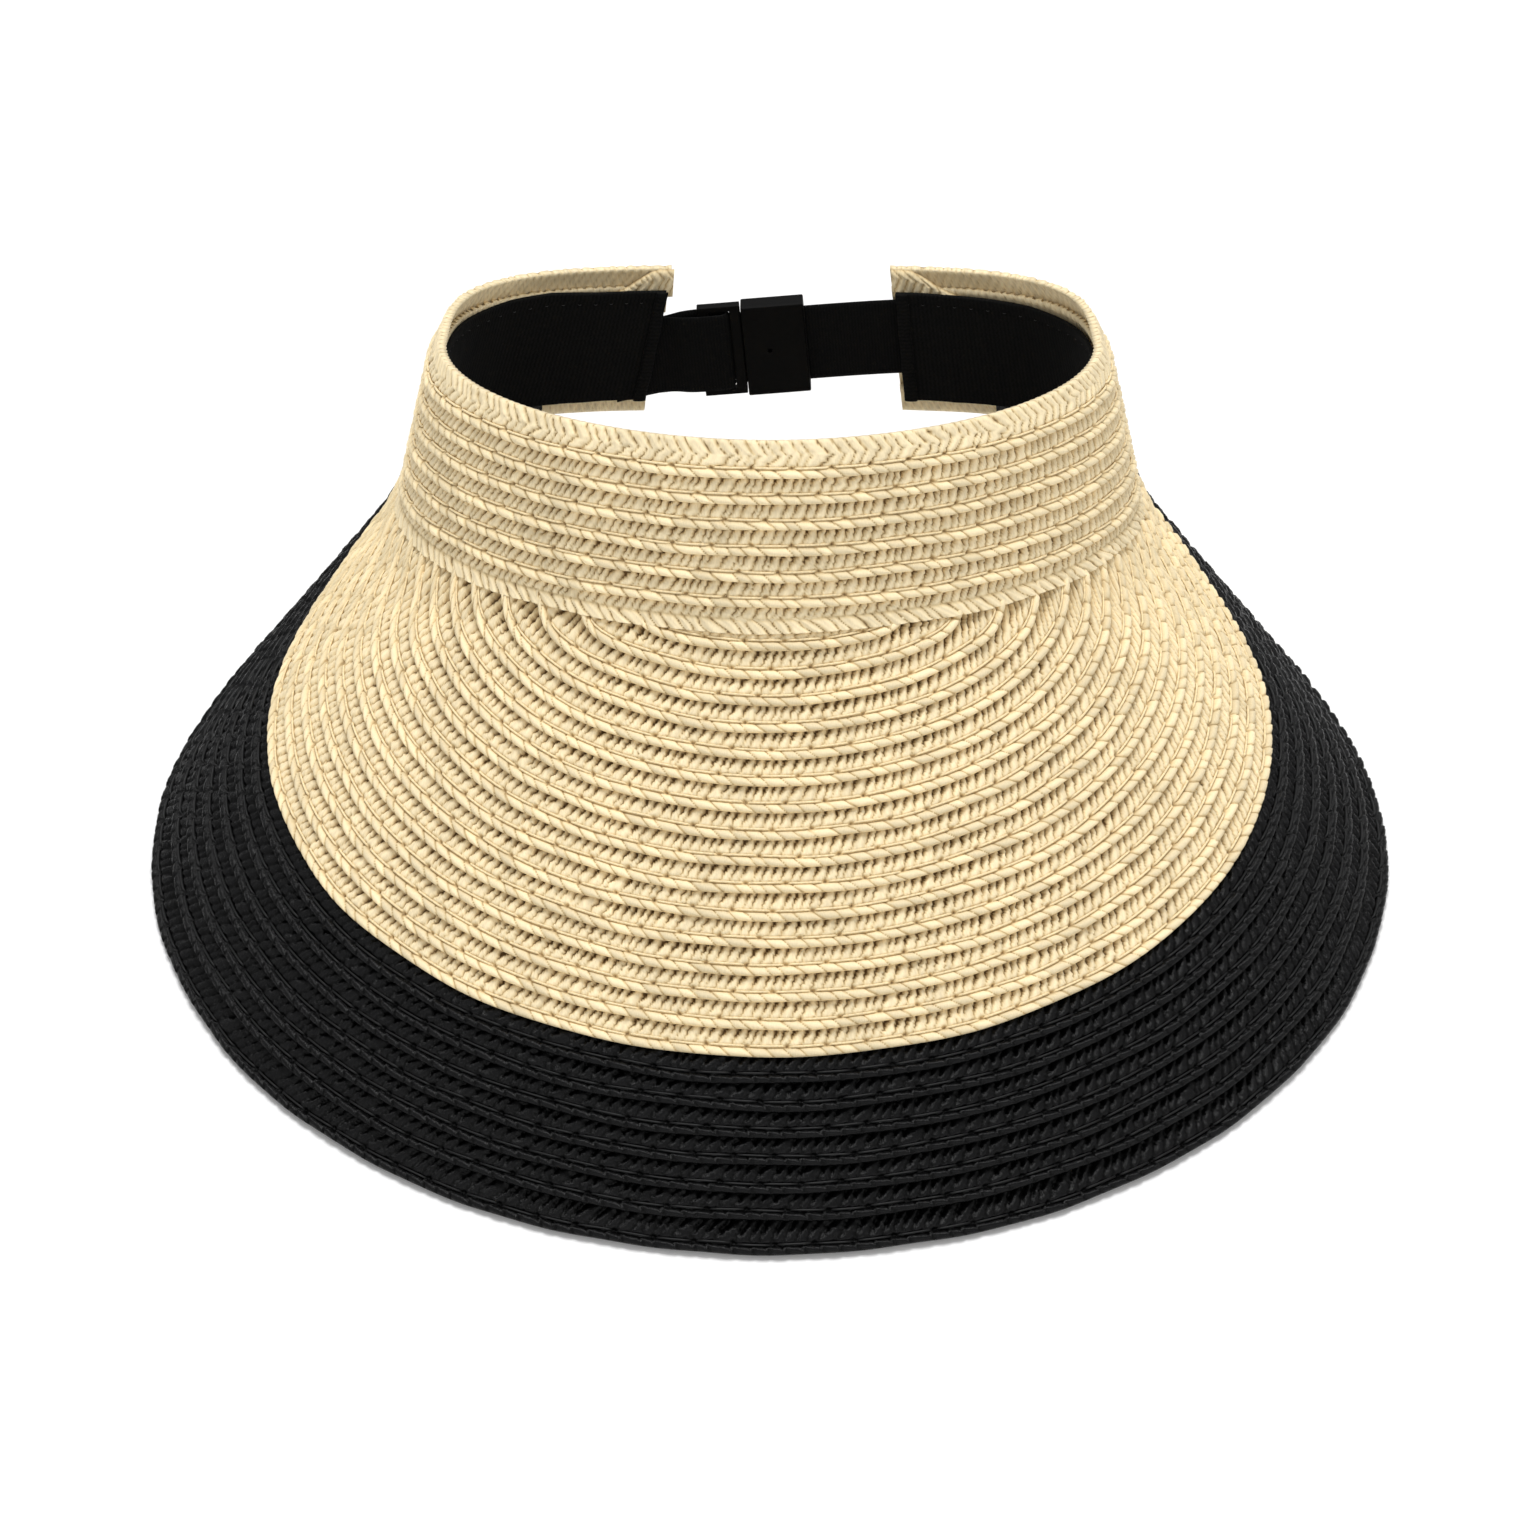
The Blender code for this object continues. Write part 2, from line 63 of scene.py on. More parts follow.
# The driving dimensions of part.py.
CROWN_HALF_WIDTH = 82.2
CROWN_FRONT = 73.9
CROWN_BACK = 62.2
FRONT_POWER = 1.91
BACK_POWER = 3.64
FLARE_SIDE = 10.3
FLARE_FRONT = 8.6
FLARE_BACK = 8.4
CROWN_HEIGHT_FRONT = 44.5
CROWN_HEIGHT_BACK = 43.2
LOWER_EDGE_RISE = 0.3
LEFT_END_TOP = -158.3
LEFT_END_FOOT = -154.6
RIGHT_END_TOP = 152.9
RIGHT_END_FOOT = 153.0
BRIM_END = 137.5
BRIM_ANGLES = (0.0, 40.0, 75.0, 105.0, BRIM_END)
BRIM_LENGTHS = (146.7, 139.0, 112.4, 65.6, 0.0)
BRIM_SLOPES = (58.3, 55.6, 50.8, 50.6, 79.6)
BRIM_SWEEPS = (0.0, 1.5, 4.0, 15.3, 14.4)
BRIM_ROOT_INSET = 2.3
BRAID_PITCH = 6.34
RIM_ROW_SHOWN = 1.2
BRAID_WIDTH = 9.3
BRAID_RISE = 2.0
TOP_ROW_SHOWN = 8.7
CROWN_ROWS = 7
NATURAL_BRIM_ROWS = 17
BLACK_BRIM_ROWS = 7
ROOT_TUCK = 3.4
ROW_END_WIDTH = 1.4
SWEATBAND_TOP = 0.19
SWEATBAND_FOOT = 0.90
SWEATBAND_DEPTH = 2.4
SWEATBAND_DEPTH_AT_ENDS = 5.45
SWEATBAND_END_BACK = 0.9
HEM_WIDTH = 3.2
HEM_GAP = 0.4
HEM_RADIUS = 77.75
CLOSURE_CENTRE = (0.2, 62.8, 21.3)
CLOSURE_LEAN = 11.0
STRAP_ROLL = 5.2
WEBBING_WIDTH = 22.5
WEBBING_THICKNESS = 1.1
TAIL_DROP = 2.2
ELASTIC_WIDTH = 22.0
ELASTIC_THICKNESS = 1.3
LATCH_ARM = ((-5.7, -0.6, -3.8), (1.2, 0.6, 3.8))  # lowest and highest corners in the closure frame
LATCH_BARB = ((-3.2, -0.3, -3.2), (0.7, 2.3, 3.2))
TABLE_LEAN = 18.5
CROWN_PLACE = (0.0, 58.359, 68.525)  # where the crown frame's origin lies in the row frame

FOOT_OVAL = (CROWN_HALF_WIDTH + FLARE_SIDE, CROWN_FRONT + FLARE_FRONT, CROWN_BACK + FLARE_BACK)
SLANT_HEIGHT = math.hypot(CROWN_HEIGHT_FRONT, FLARE_FRONT)

# Straw rows.
HALF_THICK = 0.35
STRAND_PITCH = 2.45
ROOT_LIFT = 1.7  # how far the brim is drawn up against the band by its seam
MORE_TUCK = 1.6  # how much further than in the CAD it reaches up behind the band
EASED_CORNERS = 5  # how far the ends of the rows are rounded off, in half degrees
STEP = 0.45
ROPE_SHARES = (0, 0.02, 0.05, 0.09, 0.135, 0.18, 0.225)  # of a row's width, from its lower edge
UPPER_SHARES = (*ROPE_SHARES, 0.25, 0.28, 0.31, 0.35, *np.linspace(0.4, 0.7, 7), 0.76, 0.83, 0.91, 1.0)
UNDER_SAMPLES = 8

# Sewing thread: one stitch is a line along the row, which dips into the straw at both ends.
STITCH = 9.4
STITCH_SHIFT = 3.1  # from one row to the next
STITCH_LINE = 2.38  # above the row's lower edge
STITCH_ALONG = np.array([0.25, 0.55, 1.2, 2.6, 4.7, 6.8, 8.2, 8.85, 9.15])
STITCH_LIFT = np.array([-0.75, -0.25, 0.1, 0.2, 0.24, 0.2, 0.1, -0.25, -0.75])
THREAD_RADIUS = 0.27
THREAD_SIDES = 6

# Cloth.
CLOTH_HALF_THICK = 0.45
LINING_WIDTH = 32.0
FOLDED_CORNER_LENGTH = 17.0
FOLDED_CORNER_FOOT = 0.185  # as a share of the band's height


def world(points):
    """Crown-frame millimetres to row-frame metres."""
    lean = math.radians(TABLE_LEAN)
    c, s = math.cos(lean), math.sin(lean)
    p = np.asarray(points, float)
    turned = np.stack([p[..., 0], p[..., 1] * c + p[..., 2] * s, -p[..., 1] * s + p[..., 2] * c], -1)
    return (turned + np.array(CROWN_PLACE)) / 1000


def closure(points):
    """Closure frame (X along the strap, Y away from the head, Z up) to crown frame, in millimetres."""
    p = np.asarray(points, float)
    roll = math.radians(-STRAP_ROLL)
    lean = math.radians(CLOSURE_LEAN)
    x = p[..., 0] * math.cos(roll) + p[..., 2] * math.sin(roll)
    z = -p[..., 0] * math.sin(roll) + p[..., 2] * math.cos(roll)
    y = p[..., 1] * math.cos(lean) - z * math.sin(lean)
    z = p[..., 1] * math.sin(lean) + z * math.cos(lean)
    return np.stack([x, y, z], -1) + np.array(CLOSURE_CENTRE)


# Surfaces, as in part.py.


def oval(half_width, front, back, angles):
    """Points and outward normals of the crown's plan, at angles from the front."""
    turn = np.radians(angles)
    sine, cosine = np.sin(turn), np.cos(turn)
    depth = np.where(cosine >= 0, front, back)
    power = np.where(cosine >= 0, FRONT_POWER, BACK_POWER)
    reach = (np.abs(sine / half_width) ** power + np.abs(cosine / depth) ** power) ** (-1 / power)
    x, y = reach * sine, -reach * cosine
    across = np.sign(x) * np.abs(x / half_width) ** (power - 1) / half_width
    along = np.sign(y) * np.abs(y / depth) ** (power - 1) / depth
    size = np.hypot(across, along)
    return np.stack([x, y], -1), np.stack([across / size, along / size], -1)


def crown_edges(angles):
    """The band's upper and lower edge."""
    back_share = (1 - np.cos(np.radians(angles))) / 2
    rise = LOWER_EDGE_RISE * back_share
    height = CROWN_HEIGHT_FRONT + (CROWN_HEIGHT_BACK - CROWN_HEIGHT_FRONT) * back_share
    top, _ = oval(CROWN_HALF_WIDTH, CROWN_FRONT, CROWN_BACK, angles)
    foot, _ = oval(*FOOT_OVAL, angles)
    return np.column_stack([top, rise + height]), np.column_stack([foot, rise])


def crown_surface(angles, share):
    """Points on the band, a share of its height below its upper edge."""
    top, foot = crown_edges(angles)
    return top + (foot - top) * np.reshape(share, (-1, 1))


def band_end(side, share):
    """The angle at which the band stops at the back, on the left (-1) or the right (1)."""
    top, foot = (LEFT_END_TOP, LEFT_END_FOOT) if side < 0 else (RIGHT_END_TOP, RIGHT_END_FOOT)
    return top + (foot - top) * share


def brim_setting(values, angles):
    """One of the brim's settings, which runs smoothly through its values at BRIM_ANGLES."""

    def terms(at):
        bends = [np.clip(at - bend, 0, None) ** 3 for bend in BRIM_ANGLES[1:3]]
        return np.stack([at**0, at**2, at**3, *bends], -1)

    return terms(np.abs(angles)) @ np.linalg.solve(terms(np.array(BRIM_ANGLES)), np.array(values))


def brim_surface(angles, distance):
    """Points on the brim, this far down its straight lines from the band's lower edge."""
    _, foot = crown_edges(angles)
    _, normal = oval(*FOOT_OVAL, angles)
    sweep = np.radians(brim_setting(BRIM_SWEEPS, angles)) * np.sign(angles)
    out_x = normal[:, 0] * np.cos(sweep) - normal[:, 1] * np.sin(sweep)
    out_y = normal[:, 0] * np.sin(sweep) + normal[:, 1] * np.cos(sweep)
    slope = np.radians(brim_setting(BRIM_SLOPES, angles))
    line = np.column_stack([out_x * np.cos(slope), out_y * np.cos(slope), -np.sin(slope)])
    inset = np.column_stack([normal, np.zeros(len(normal))]) * BRIM_ROOT_INSET
    return foot - inset + line * np.reshape(distance, (-1, 1))


def brim_reach(angles):
    """How far down its lines the brim's rim lies."""
    return np.clip(brim_setting(BRIM_LENGTHS, angles), 0, None)


def offset_point(surface, angles, place, height):
    """Points at a height over a surface, along its outward normal."""
    small_turn = 0.02
    small_step = 0.002
    forward = surface(angles + small_turn, place) - surface(angles - small_turn, place)
    down = surface(angles, place + small_step) - surface(angles, place - small_step)
    normal = np.cross(down, forward)
    normal /= np.linalg.norm(normal, axis=1)[:, None]
    return surface(angles, place) + normal * np.reshape(height, (-1, 1))


def brim_row_edges(angles):
    """Where the rows' lower edges cross the brim's lines, from the rim inwards."""
    rim_angles = np.arange(-BRIM_END, BRIM_END + 0.1, 0.25)
    rim = brim_surface(rim_angles, brim_reach(rim_angles))
    inner_rows = np.arange(NATURAL_BRIM_ROWS + BLACK_BRIM_ROWS)
    wanted = BRAID_PITCH * np.concatenate([[0], inner_rows + RIM_ROW_SHOWN])
    edges = []
    for angle, reach in zip(angles, brim_reach(angles)):
        places = np.linspace(reach, -8.0, 241)
        line = brim_surface(np.full(len(places), angle), places)
        from_rim = np.linalg.norm(line[:, None] - rim[None], axis=2).min(axis=1)
        edges.append(np.interp(wanted, np.maximum.accumulate(from_rim), places))
    return np.array(edges).T


# Meshes.


def mesh_object(name, points, faces, attributes=None, smooth=True):
    """An object from points in row-frame metres and quads or triangles, with values stored on its points."""
    mesh = bpy.data.meshes.new(name)
    points = np.asarray(points, np.float32)
    sizes = np.array([len(f) for f in faces])
    mesh.vertices.add(len(points))
    mesh.vertices.foreach_set("co", points.ravel())
    corners = np.concatenate([np.asarray(f, np.int32).ravel() for f in faces]).astype(np.int32)
    mesh.loops.add(len(corners))
    mesh.loops.foreach_set("vertex_index", corners)
    mesh.polygons.add(len(faces))
    mesh.polygons.foreach_set("loop_start", np.concatenate([[0], np.cumsum(sizes)[:-1]]).astype(np.int32))
    for key, values in (attributes or {}).items():
        values = np.asarray(values, np.float32)
        kind = "FLOAT_VECTOR" if values.ndim == 2 else "FLOAT"
        made = mesh.attributes.new(key, kind, "POINT")
        made.data.foreach_set("vector" if values.ndim == 2 else "value", values.ravel())
    mesh.update(calc_edges=True)
    mesh.validate()
    if smooth:
        mesh.shade_smooth()
    obj = bpy.data.objects.new(name, mesh)
    bpy.context.scene.collection.objects.link(obj)
    return obj


def tube_faces(columns, ring, start=0):
    """Quads round a tube of rings, and a cap on each end."""
    i, j = np.meshgrid(np.arange(columns - 1), np.arange(ring), indexing="ij")
    beside = (j + 1) % ring
    corners = [i * ring + j, i * ring + beside, (i + 1) * ring + beside, (i + 1) * ring + j]
    quads = np.stack(corners, -1).reshape(-1, 4)
    first_cap = list(range(start + ring - 1, start - 1, -1))
    last = start + (columns - 1) * ring
    last_cap = list(range(last, last + ring))
    return [*(quads + start), first_cap, last_cap]


def outward(points, faces):
    """The same faces, turned over if their solid is inside out."""
    p = np.asarray(points, float)
    volume = 0.0
    for size in (3, 4):
        flat = np.array([f for f in faces if len(f) == size])
        if len(flat):
            for k in range(1, size - 1):
                a, b, c = p[flat[:, 0]], p[flat[:, k]], p[flat[:, k + 1]]
                volume += np.einsum("ij,ij->i", a, np.cross(b, c)).sum()
    return faces if volume > 0 else [f[::-1] for f in faces]


def smooth_step(low, high, value):
    """From 0 at low to 1 at high, level at both."""
    t = np.clip((value - low) / (high - low), 0, 1)
    return t * t * (3 - 2 * t)


def wobble(u, seed, span):
    """A smooth random line along a row, about -1 to 1, that changes over this span."""
    draws = np.random.default_rng(seed)
    waves = []
    for _ in range(4):
        length = span * draws.uniform(0.6, 1.9)
        waves.append(np.sin(u * 2 * math.pi / length + draws.uniform(0, 6.28)))
    return sum(waves) / 2.6


def strand_value(index, seed):
    """A repeatable random value from 0 to 1 for each strand."""
    return np.mod(np.sin(index * 12.9898 + seed * 78.233) * 43758.5453, 1.0)


# Braid relief: (height, unshaded share from 0 in a crevice full of painted shade to 1, value of the strand
# with painted shade in its creases) at u and v.


def plump(part, steep):
    """A strand's section along the row: it rises quickly, stays full, and tucks under the next strand."""
    rise = np.clip(part / 0.42, 0, 1)
    fall = smooth_step(1.0, 1.0 - steep, part)
    return np.sin(rise * math.pi / 2) ** 0.7 * fall


def uneven(at, seed, amount):
    """The strand's number and the part of it, with seams moved so that no two strands are equally wide."""
    whole = np.floor(at)
    here = amount * (strand_value(whole, seed) - 0.5)
    ahead = amount * (strand_value(whole + 1, seed) - 0.5)
    part = at - whole
    moved = (part - here) / (1 + ahead - here)
    return whole + np.where(moved < 0, -1, np.where(moved >= 1, 1, 0)), np.mod(moved, 1)


def rope_edge(u, v, seed, length, slant):
    """The rope-like lower edge, where strands turn back."""
    at = (u + slant * v + 0.25 * wobble(u, seed + 14, 7)) / length + 0.25 * wobble(u, seed + 1, 26)
    number, part = uneven(at, seed + 15, 0.34)
    body = plump(part, 0.2)
    fatter = 0.82 + 0.3 * strand_value(number, seed + 13)
    profile = np.sqrt(np.clip(1 - ((v - 0.98) / 1.1) ** 2, 0, None))
    crease = 0.08 * np.cos(2 * math.pi * (2.6 * part + 0.9 * v + strand_value(number, seed + 16)))
    height = 0.1 + profile * (0.36 + 0.76 * body * fatter + crease * body) + 0.06 * wobble(u, seed + 2, 9)
    # Painted shade in the seams between the rope's strands and along both sides of the rope.
    unshaded = (0.12 + 0.88 * smooth_step(0.05, 0.7, body)) * (0.35 + 0.65 * profile)
    # The strand's value: its own random tone, with painted shade in its creases and painted light on its
    # crests.
    return height, unshaded, np.clip(strand_value(number, seed + 3) + 1.4 * crease, 0, 1)


def slanted_strands(u, v, seed, pitch, slant, fibres, pull=1.0):
    """Strands that lean over, each a bundle of finer fibres. They pull apart towards the row above."""
    drift = 0.3 * wobble(u, seed + 4, 17) + 0.09 * wobble(u + 3 * v, seed + 5, 5)
    number, part = uneven((u - slant * (v - 3.0)) / pitch + drift, seed + 10, 0.4)
    gap = 0.03 + pull * smooth_step(3.1, 6.3, v) * (0.1 + 0.3 * strand_value(number, seed + 12))
    inner = np.clip((part - gap / 2) / (1 - gap), 0, 1)
    body = np.sin(math.pi * inner) ** 0.55
    size = 0.6 + 0.32 * strand_value(number, seed + 6)
    ridges = 0.085 * np.cos(2 * math.pi * (fibres * inner + 0.12 * v + strand_value(number, seed + 8)))
    # Each strand's own random tone, with painted shade in the grooves between its fibres and painted light on
    # their crests.
    tone = np.clip(0.25 + 0.5 * strand_value(number, seed + 7) + 3.6 * ridges, 0, 1)
    # Painted shade in the gaps between strands, held lighter near the row's lower edge.
    dim = 0.35 * (1 - smooth_step(2.6, 4.4, v)) * pull
    unshaded = np.maximum(smooth_step(0.12, 0.8, body), dim)
    return size * body + ridges * body, unshaded, tone


def chevron_strands(u, v, seed):
    """Two lines of strands that lean opposite ways, as on the band's top row."""
    lower, lower_open, lower_value = slanted_strands(u, v, seed, 3.1, 0.75, fibres=2, pull=0.0)
    upper, upper_open, upper_value = slanted_strands(u, v, seed + 40, 3.1, -0.75, fibres=2, pull=0.0)
    turn = smooth_step(5.2, 5.6, v)
    body = lower + (upper - lower) * turn
    unshaded = lower_open + (upper_open - lower_open) * turn
    return body, unshaded, np.where(turn > 0.5, upper_value, lower_value)


def row_relief(kind, u, v, seed):
    """Height, unshaded share (against painted crevice shade) and tone of a row's upper side; the tone carries
    painted shade in the strands' creases.
    """
    if kind == "foot":
        edge, edge_open, edge_value = slanted_strands(u, v, seed + 20, 3.3, -0.95, fibres=2, pull=0.0)
    elif kind == "black":
        edge, edge_open, edge_value = rope_edge(u, v, seed, length=4.2, slant=0.8)
    else:
        edge, edge_open, edge_value = rope_edge(u, v, seed, length=4.1, slant=1.1)
    if kind == "top":
        body, body_open, body_value = chevron_strands(u, v, seed)
    elif kind == "black":
        body, body_open, body_value = slanted_strands(u, v, seed, 3.1, 0.62, fibres=3, pull=0.6)
    else:
        slant = 0.6 if kind == "foot" else 0.45
        body, body_open, body_value = slanted_strands(u, v, seed, STRAND_PITCH, slant, fibres=2)
    meet = 3.2 if kind == "foot" else 2.15
    over = smooth_step(meet - 0.25, meet + 0.4, v)
    body = body * (0.5 + 0.5 * smooth_step(meet - 0.1, meet + 1.0, v))
    height = edge + (body - edge) * over
    unshaded = edge_open + (body_open - edge_open) * over
    value = np.where(over > 0.5, body_value, edge_value)
    # The strands sink where the row above lies on them, and painted shadow darkens them there.
    under = np.zeros_like(v) if kind == "top" else smooth_step(5.0, 6.5, v)
    if kind == "foot":
        # Painted shade darkens the groove where the edge meets the body, and painted shadow lies under the
        # row above.
        groove = np.exp(-(((v - meet) / 0.4) ** 2))
        return height + 0.1 - 0.25 * groove, unshaded * (1 - 0.5 * groove) * (1 - 0.4 * under), value
    stitch = np.mod(u + seed * STITCH_SHIFT, STITCH)
    hole = np.exp(-((np.minimum(stitch, STITCH - stitch) / 0.45) ** 2 + ((v - 2.45) / 0.5) ** 2))
    groove = np.exp(-(((v - 2.3) / 0.4) ** 2))
    apart = 0.3 + 0.7 * smooth_step(-0.6, 0.5, wobble(u, seed + 9, 30))
    deep = smooth_step(3.7, 6.0, v) * (1 - body_open) * (0 if kind == "top" else 1) * apart
    # The stitch groove, the needle holes and the gaps where the strands pull apart are lowered, and painted
    # shade darkens them.
    height = height - 0.2 * groove - 0.7 * hole - 1.0 * deep - 0.15 * under
    unshaded = unshaded * (1 - 0.4 * groove) * (1 - 0.92 * hole) * (1 - 0.9 * deep) * (1 - 0.4 * under)
    return height, unshaded, value


class Row:
    """One straw row, laid on a surface along a line of angles and the places of its lower edge there."""

    def __init__(self, name, kind, surface, angles, lower, rate, available, seed):
        self.name = name
        self.kind = kind
        self.surface = surface
        self.angles = angles
        self.lower = lower
        self.rate = rate  # how much of the surface's own measure one millimetre across the row takes
        self.available = available  # how wide the row is before the band or its own end cuts it off
        self.seed = seed
        points = surface(angles, lower)
        self.arc = np.concatenate([[0], np.cumsum(np.linalg.norm(np.diff(points, axis=0), axis=1))])
        self.front = np.interp(0, angles, self.arc)
        self.length = self.arc[-1]

    def at(self, u, v, height):
        """Crown-frame points for arrays of the same shape."""
        shape = np.shape(u)
        u, v, height = (np.ravel(x) for x in (u, v, height))
        angle = np.interp(u, self.arc, self.angles)
        rate = np.interp(u, self.arc, self.rate)
        place = np.interp(u, self.arc, self.lower) - v * rate
        place = place + 0.24 * wobble(u, self.seed + 50, 40) * (1 - v / BRAID_WIDTH) * rate
        base = BRAID_RISE * (0.5 - v / BRAID_WIDTH)
        if self.surface is brim_surface:
            base = base + ROOT_LIFT * smooth_step(13.0, 2.0, place)
        return offset_point(self.surface, angle, place, base + height).reshape(*shape, 3)

    def relief(self, u, v):
        return row_relief(self.kind, u - self.front, v, self.seed)

    def mesh(self, step):
        """A closed relief: the upper side in full, the under side with its strands a little coarser."""
        columns = max(4, int(self.length / step))
        u = np.linspace(0, self.length, columns)
        wide = np.interp(u, self.arc, self.available)
        share = np.concatenate([UPPER_SHARES, np.linspace(1.0, 0.0, UNDER_SAMPLES), [-0.012]])
        is_top = (np.arange(len(share)) < len(UPPER_SHARES))[None]
        is_edge = (np.arange(len(share)) == len(share) - 1)[None]
        uu = np.repeat(u[:, None], len(share), 1)
        vv = share[None] * wide[:, None]
        height, unshaded, value = self.relief(uu, vv)
        shrink = np.clip(wide / BRAID_WIDTH * 3, 0, 1)[:, None]
        strands = (uu + 0.5 * vv) / STRAND_PITCH + 0.2 * wobble(uu, self.seed + 11, 17)
        swell = np.abs(np.sin(math.pi * strands)) ** 0.7
        bulge = 0.5 * swell + 0.45 * np.exp(-(((vv - 8.3) / 0.8) ** 2))
        under = -HALF_THICK - bulge * shrink * smooth_step(0, 0.08, share)[None]
        top = np.maximum(HALF_THICK + height * shrink, under + 0.15)
        full = np.where(is_top, top, under)
        full = np.where(is_edge, 0.1 + 0.05 * np.sin(uu * 1.3), full)
        # Painted shade in the crevices between strands on the under side; the cut edge gets a fixed light
        # value.
        under_open = np.where(is_edge, 0.8, 0.4 + 0.6 * smooth_step(0.1, 0.75, swell))
        points = world(self.at(uu, vv, full)).reshape(-1, 3)
        coords = np.stack([uu - self.front, vv, np.full_like(uu, self.seed)], -1).reshape(-1, 3)
        data = {
            "braid": coords,
            "unshaded": np.where(is_top, unshaded, under_open).ravel(),
            "strand": value.ravel(),
        }
        faces = tube_faces(columns, len(share))
        return mesh_object(self.name + "_braid", points, outward(points, faces), data)

    def stitches(self):
        """The rings of points of each stitch along the row."""
        shift = self.seed * STITCH_SHIFT
        first = math.ceil((-self.front + shift) / STITCH)
        last = math.floor((self.length - self.front + shift) / STITCH)
        made = []
        for k in range(first, last):
            u = k * STITCH - shift + self.front + STITCH_ALONG
            narrow = np.interp(u, self.arc, self.available).min() < 3.2
            if u[0] < 0.5 or u[-1] > self.length - 0.5 or narrow:
                continue
            aside = strand_value(k, self.seed + 31) - 0.5
            askew = strand_value(k, self.seed + 32) - 0.5
            v = STITCH_LINE + 0.3 * aside + 0.35 * askew * STITCH_ALONG / 9
            straw = self.relief(u, v)[0]
            on_top = np.maximum(straw, 0.45) + STITCH_LIFT * 0.9
            centre = HALF_THICK + np.where(STITCH_LIFT > 0, on_top, straw + STITCH_LIFT)
            rings = []
            for turn in np.arange(THREAD_SIDES) * 2 * math.pi / THREAD_SIDES:
                side = THREAD_RADIUS * math.cos(turn)
                lift = THREAD_RADIUS * math.sin(turn)
                rings.append(self.at(u, v + side, centre + lift))
            made.append(np.stack(rings, 1))
        return made


def thread_object(name, rows):
    """All stitches of several rows as one mesh."""
    stitches = [stitch for row in rows for stitch in row.stitches()]
    faces = []
    for k, stitch in enumerate(stitches):
        faces += tube_faces(len(stitch), THREAD_SIDES, k * len(stitch) * THREAD_SIDES)
    points = world(np.stack(stitches)).reshape(-1, 3)
    return mesh_object(name, points, outward(points, faces))


def rounded(edges, spread):
    """The row edges with their sharp corners eased, even about the front."""
    steps = np.arange(-3 * spread, 3 * spread + 1)
    weights = np.exp(-((steps / spread) ** 2) / 2)
    weights /= weights.sum()
    out = []
    for edge in edges:
        before = edge[1 : 3 * spread + 1][::-1]
        after = 2 * edge[-1] - edge[-3 * spread - 1 : -1][::-1]
        out.append(np.convolve(np.concatenate([before, edge, after]), weights, "valid"))
    return np.array(out)


def brim_rows():
    """The brim's rows, from the band to the rim."""
    fine = np.linspace(0, BRIM_END, 276)
    edges = rounded(brim_row_edges(fine), EASED_CORNERS)
    row_end = ROW_END_WIDTH - ROOT_TUCK
    count = NATURAL_BRIM_ROWS + BLACK_BRIM_ROWS
    rows = []
    for inward in range(count):
        outer = max(inward, 1)
        shown = BRAID_PITCH * (RIM_ROW_SHOWN if outer == 1 else 1)
        widths = (edges[outer - 1] - edges[outer]) * BRAID_WIDTH / shown
        end = np.interp(-row_end, -edges[inward], fine)
        angles = np.linspace(-end, end, max(60, int(end * 16)))
        lower = np.interp(np.abs(angles), fine, edges[inward])
        rate = np.interp(np.abs(angles), fine, widths) / BRAID_WIDTH
        available = np.clip((lower + ROOT_TUCK + MORE_TUCK) / rate, 0.6, BRAID_WIDTH)
        number = count - inward
        kind = "natural" if number <= NATURAL_BRIM_ROWS else "black"
        rows.append(Row(f"brim_row_{number:02d}", kind, brim_surface, angles, lower, rate, available, number))
    return rows[::-1]


def band_rows():
    """The band's rows, from the top down."""
    shown = (1 - TOP_ROW_SHOWN / SLANT_HEIGHT) / (CROWN_ROWS - 1)
    rows = []
    for number in range(CROWN_ROWS):
        share = TOP_ROW_SHOWN / SLANT_HEIGHT + number * shown
        angles = np.linspace(band_end(-1, share), band_end(1, share), 3000)
        lower = np.full(len(angles), share)
        rate = np.full(len(angles), 1 / SLANT_HEIGHT)
        available = np.full(len(angles), BRAID_WIDTH if number else TOP_ROW_SHOWN)
        kind = "top" if number == 0 else "foot" if number == CROWN_ROWS - 1 else "natural"
        name = f"band_row_{number + 1:02d}"
        rows.append(Row(name, kind, crown_surface, angles, lower, rate, available, 50 + number))
    return rows


# Materials.


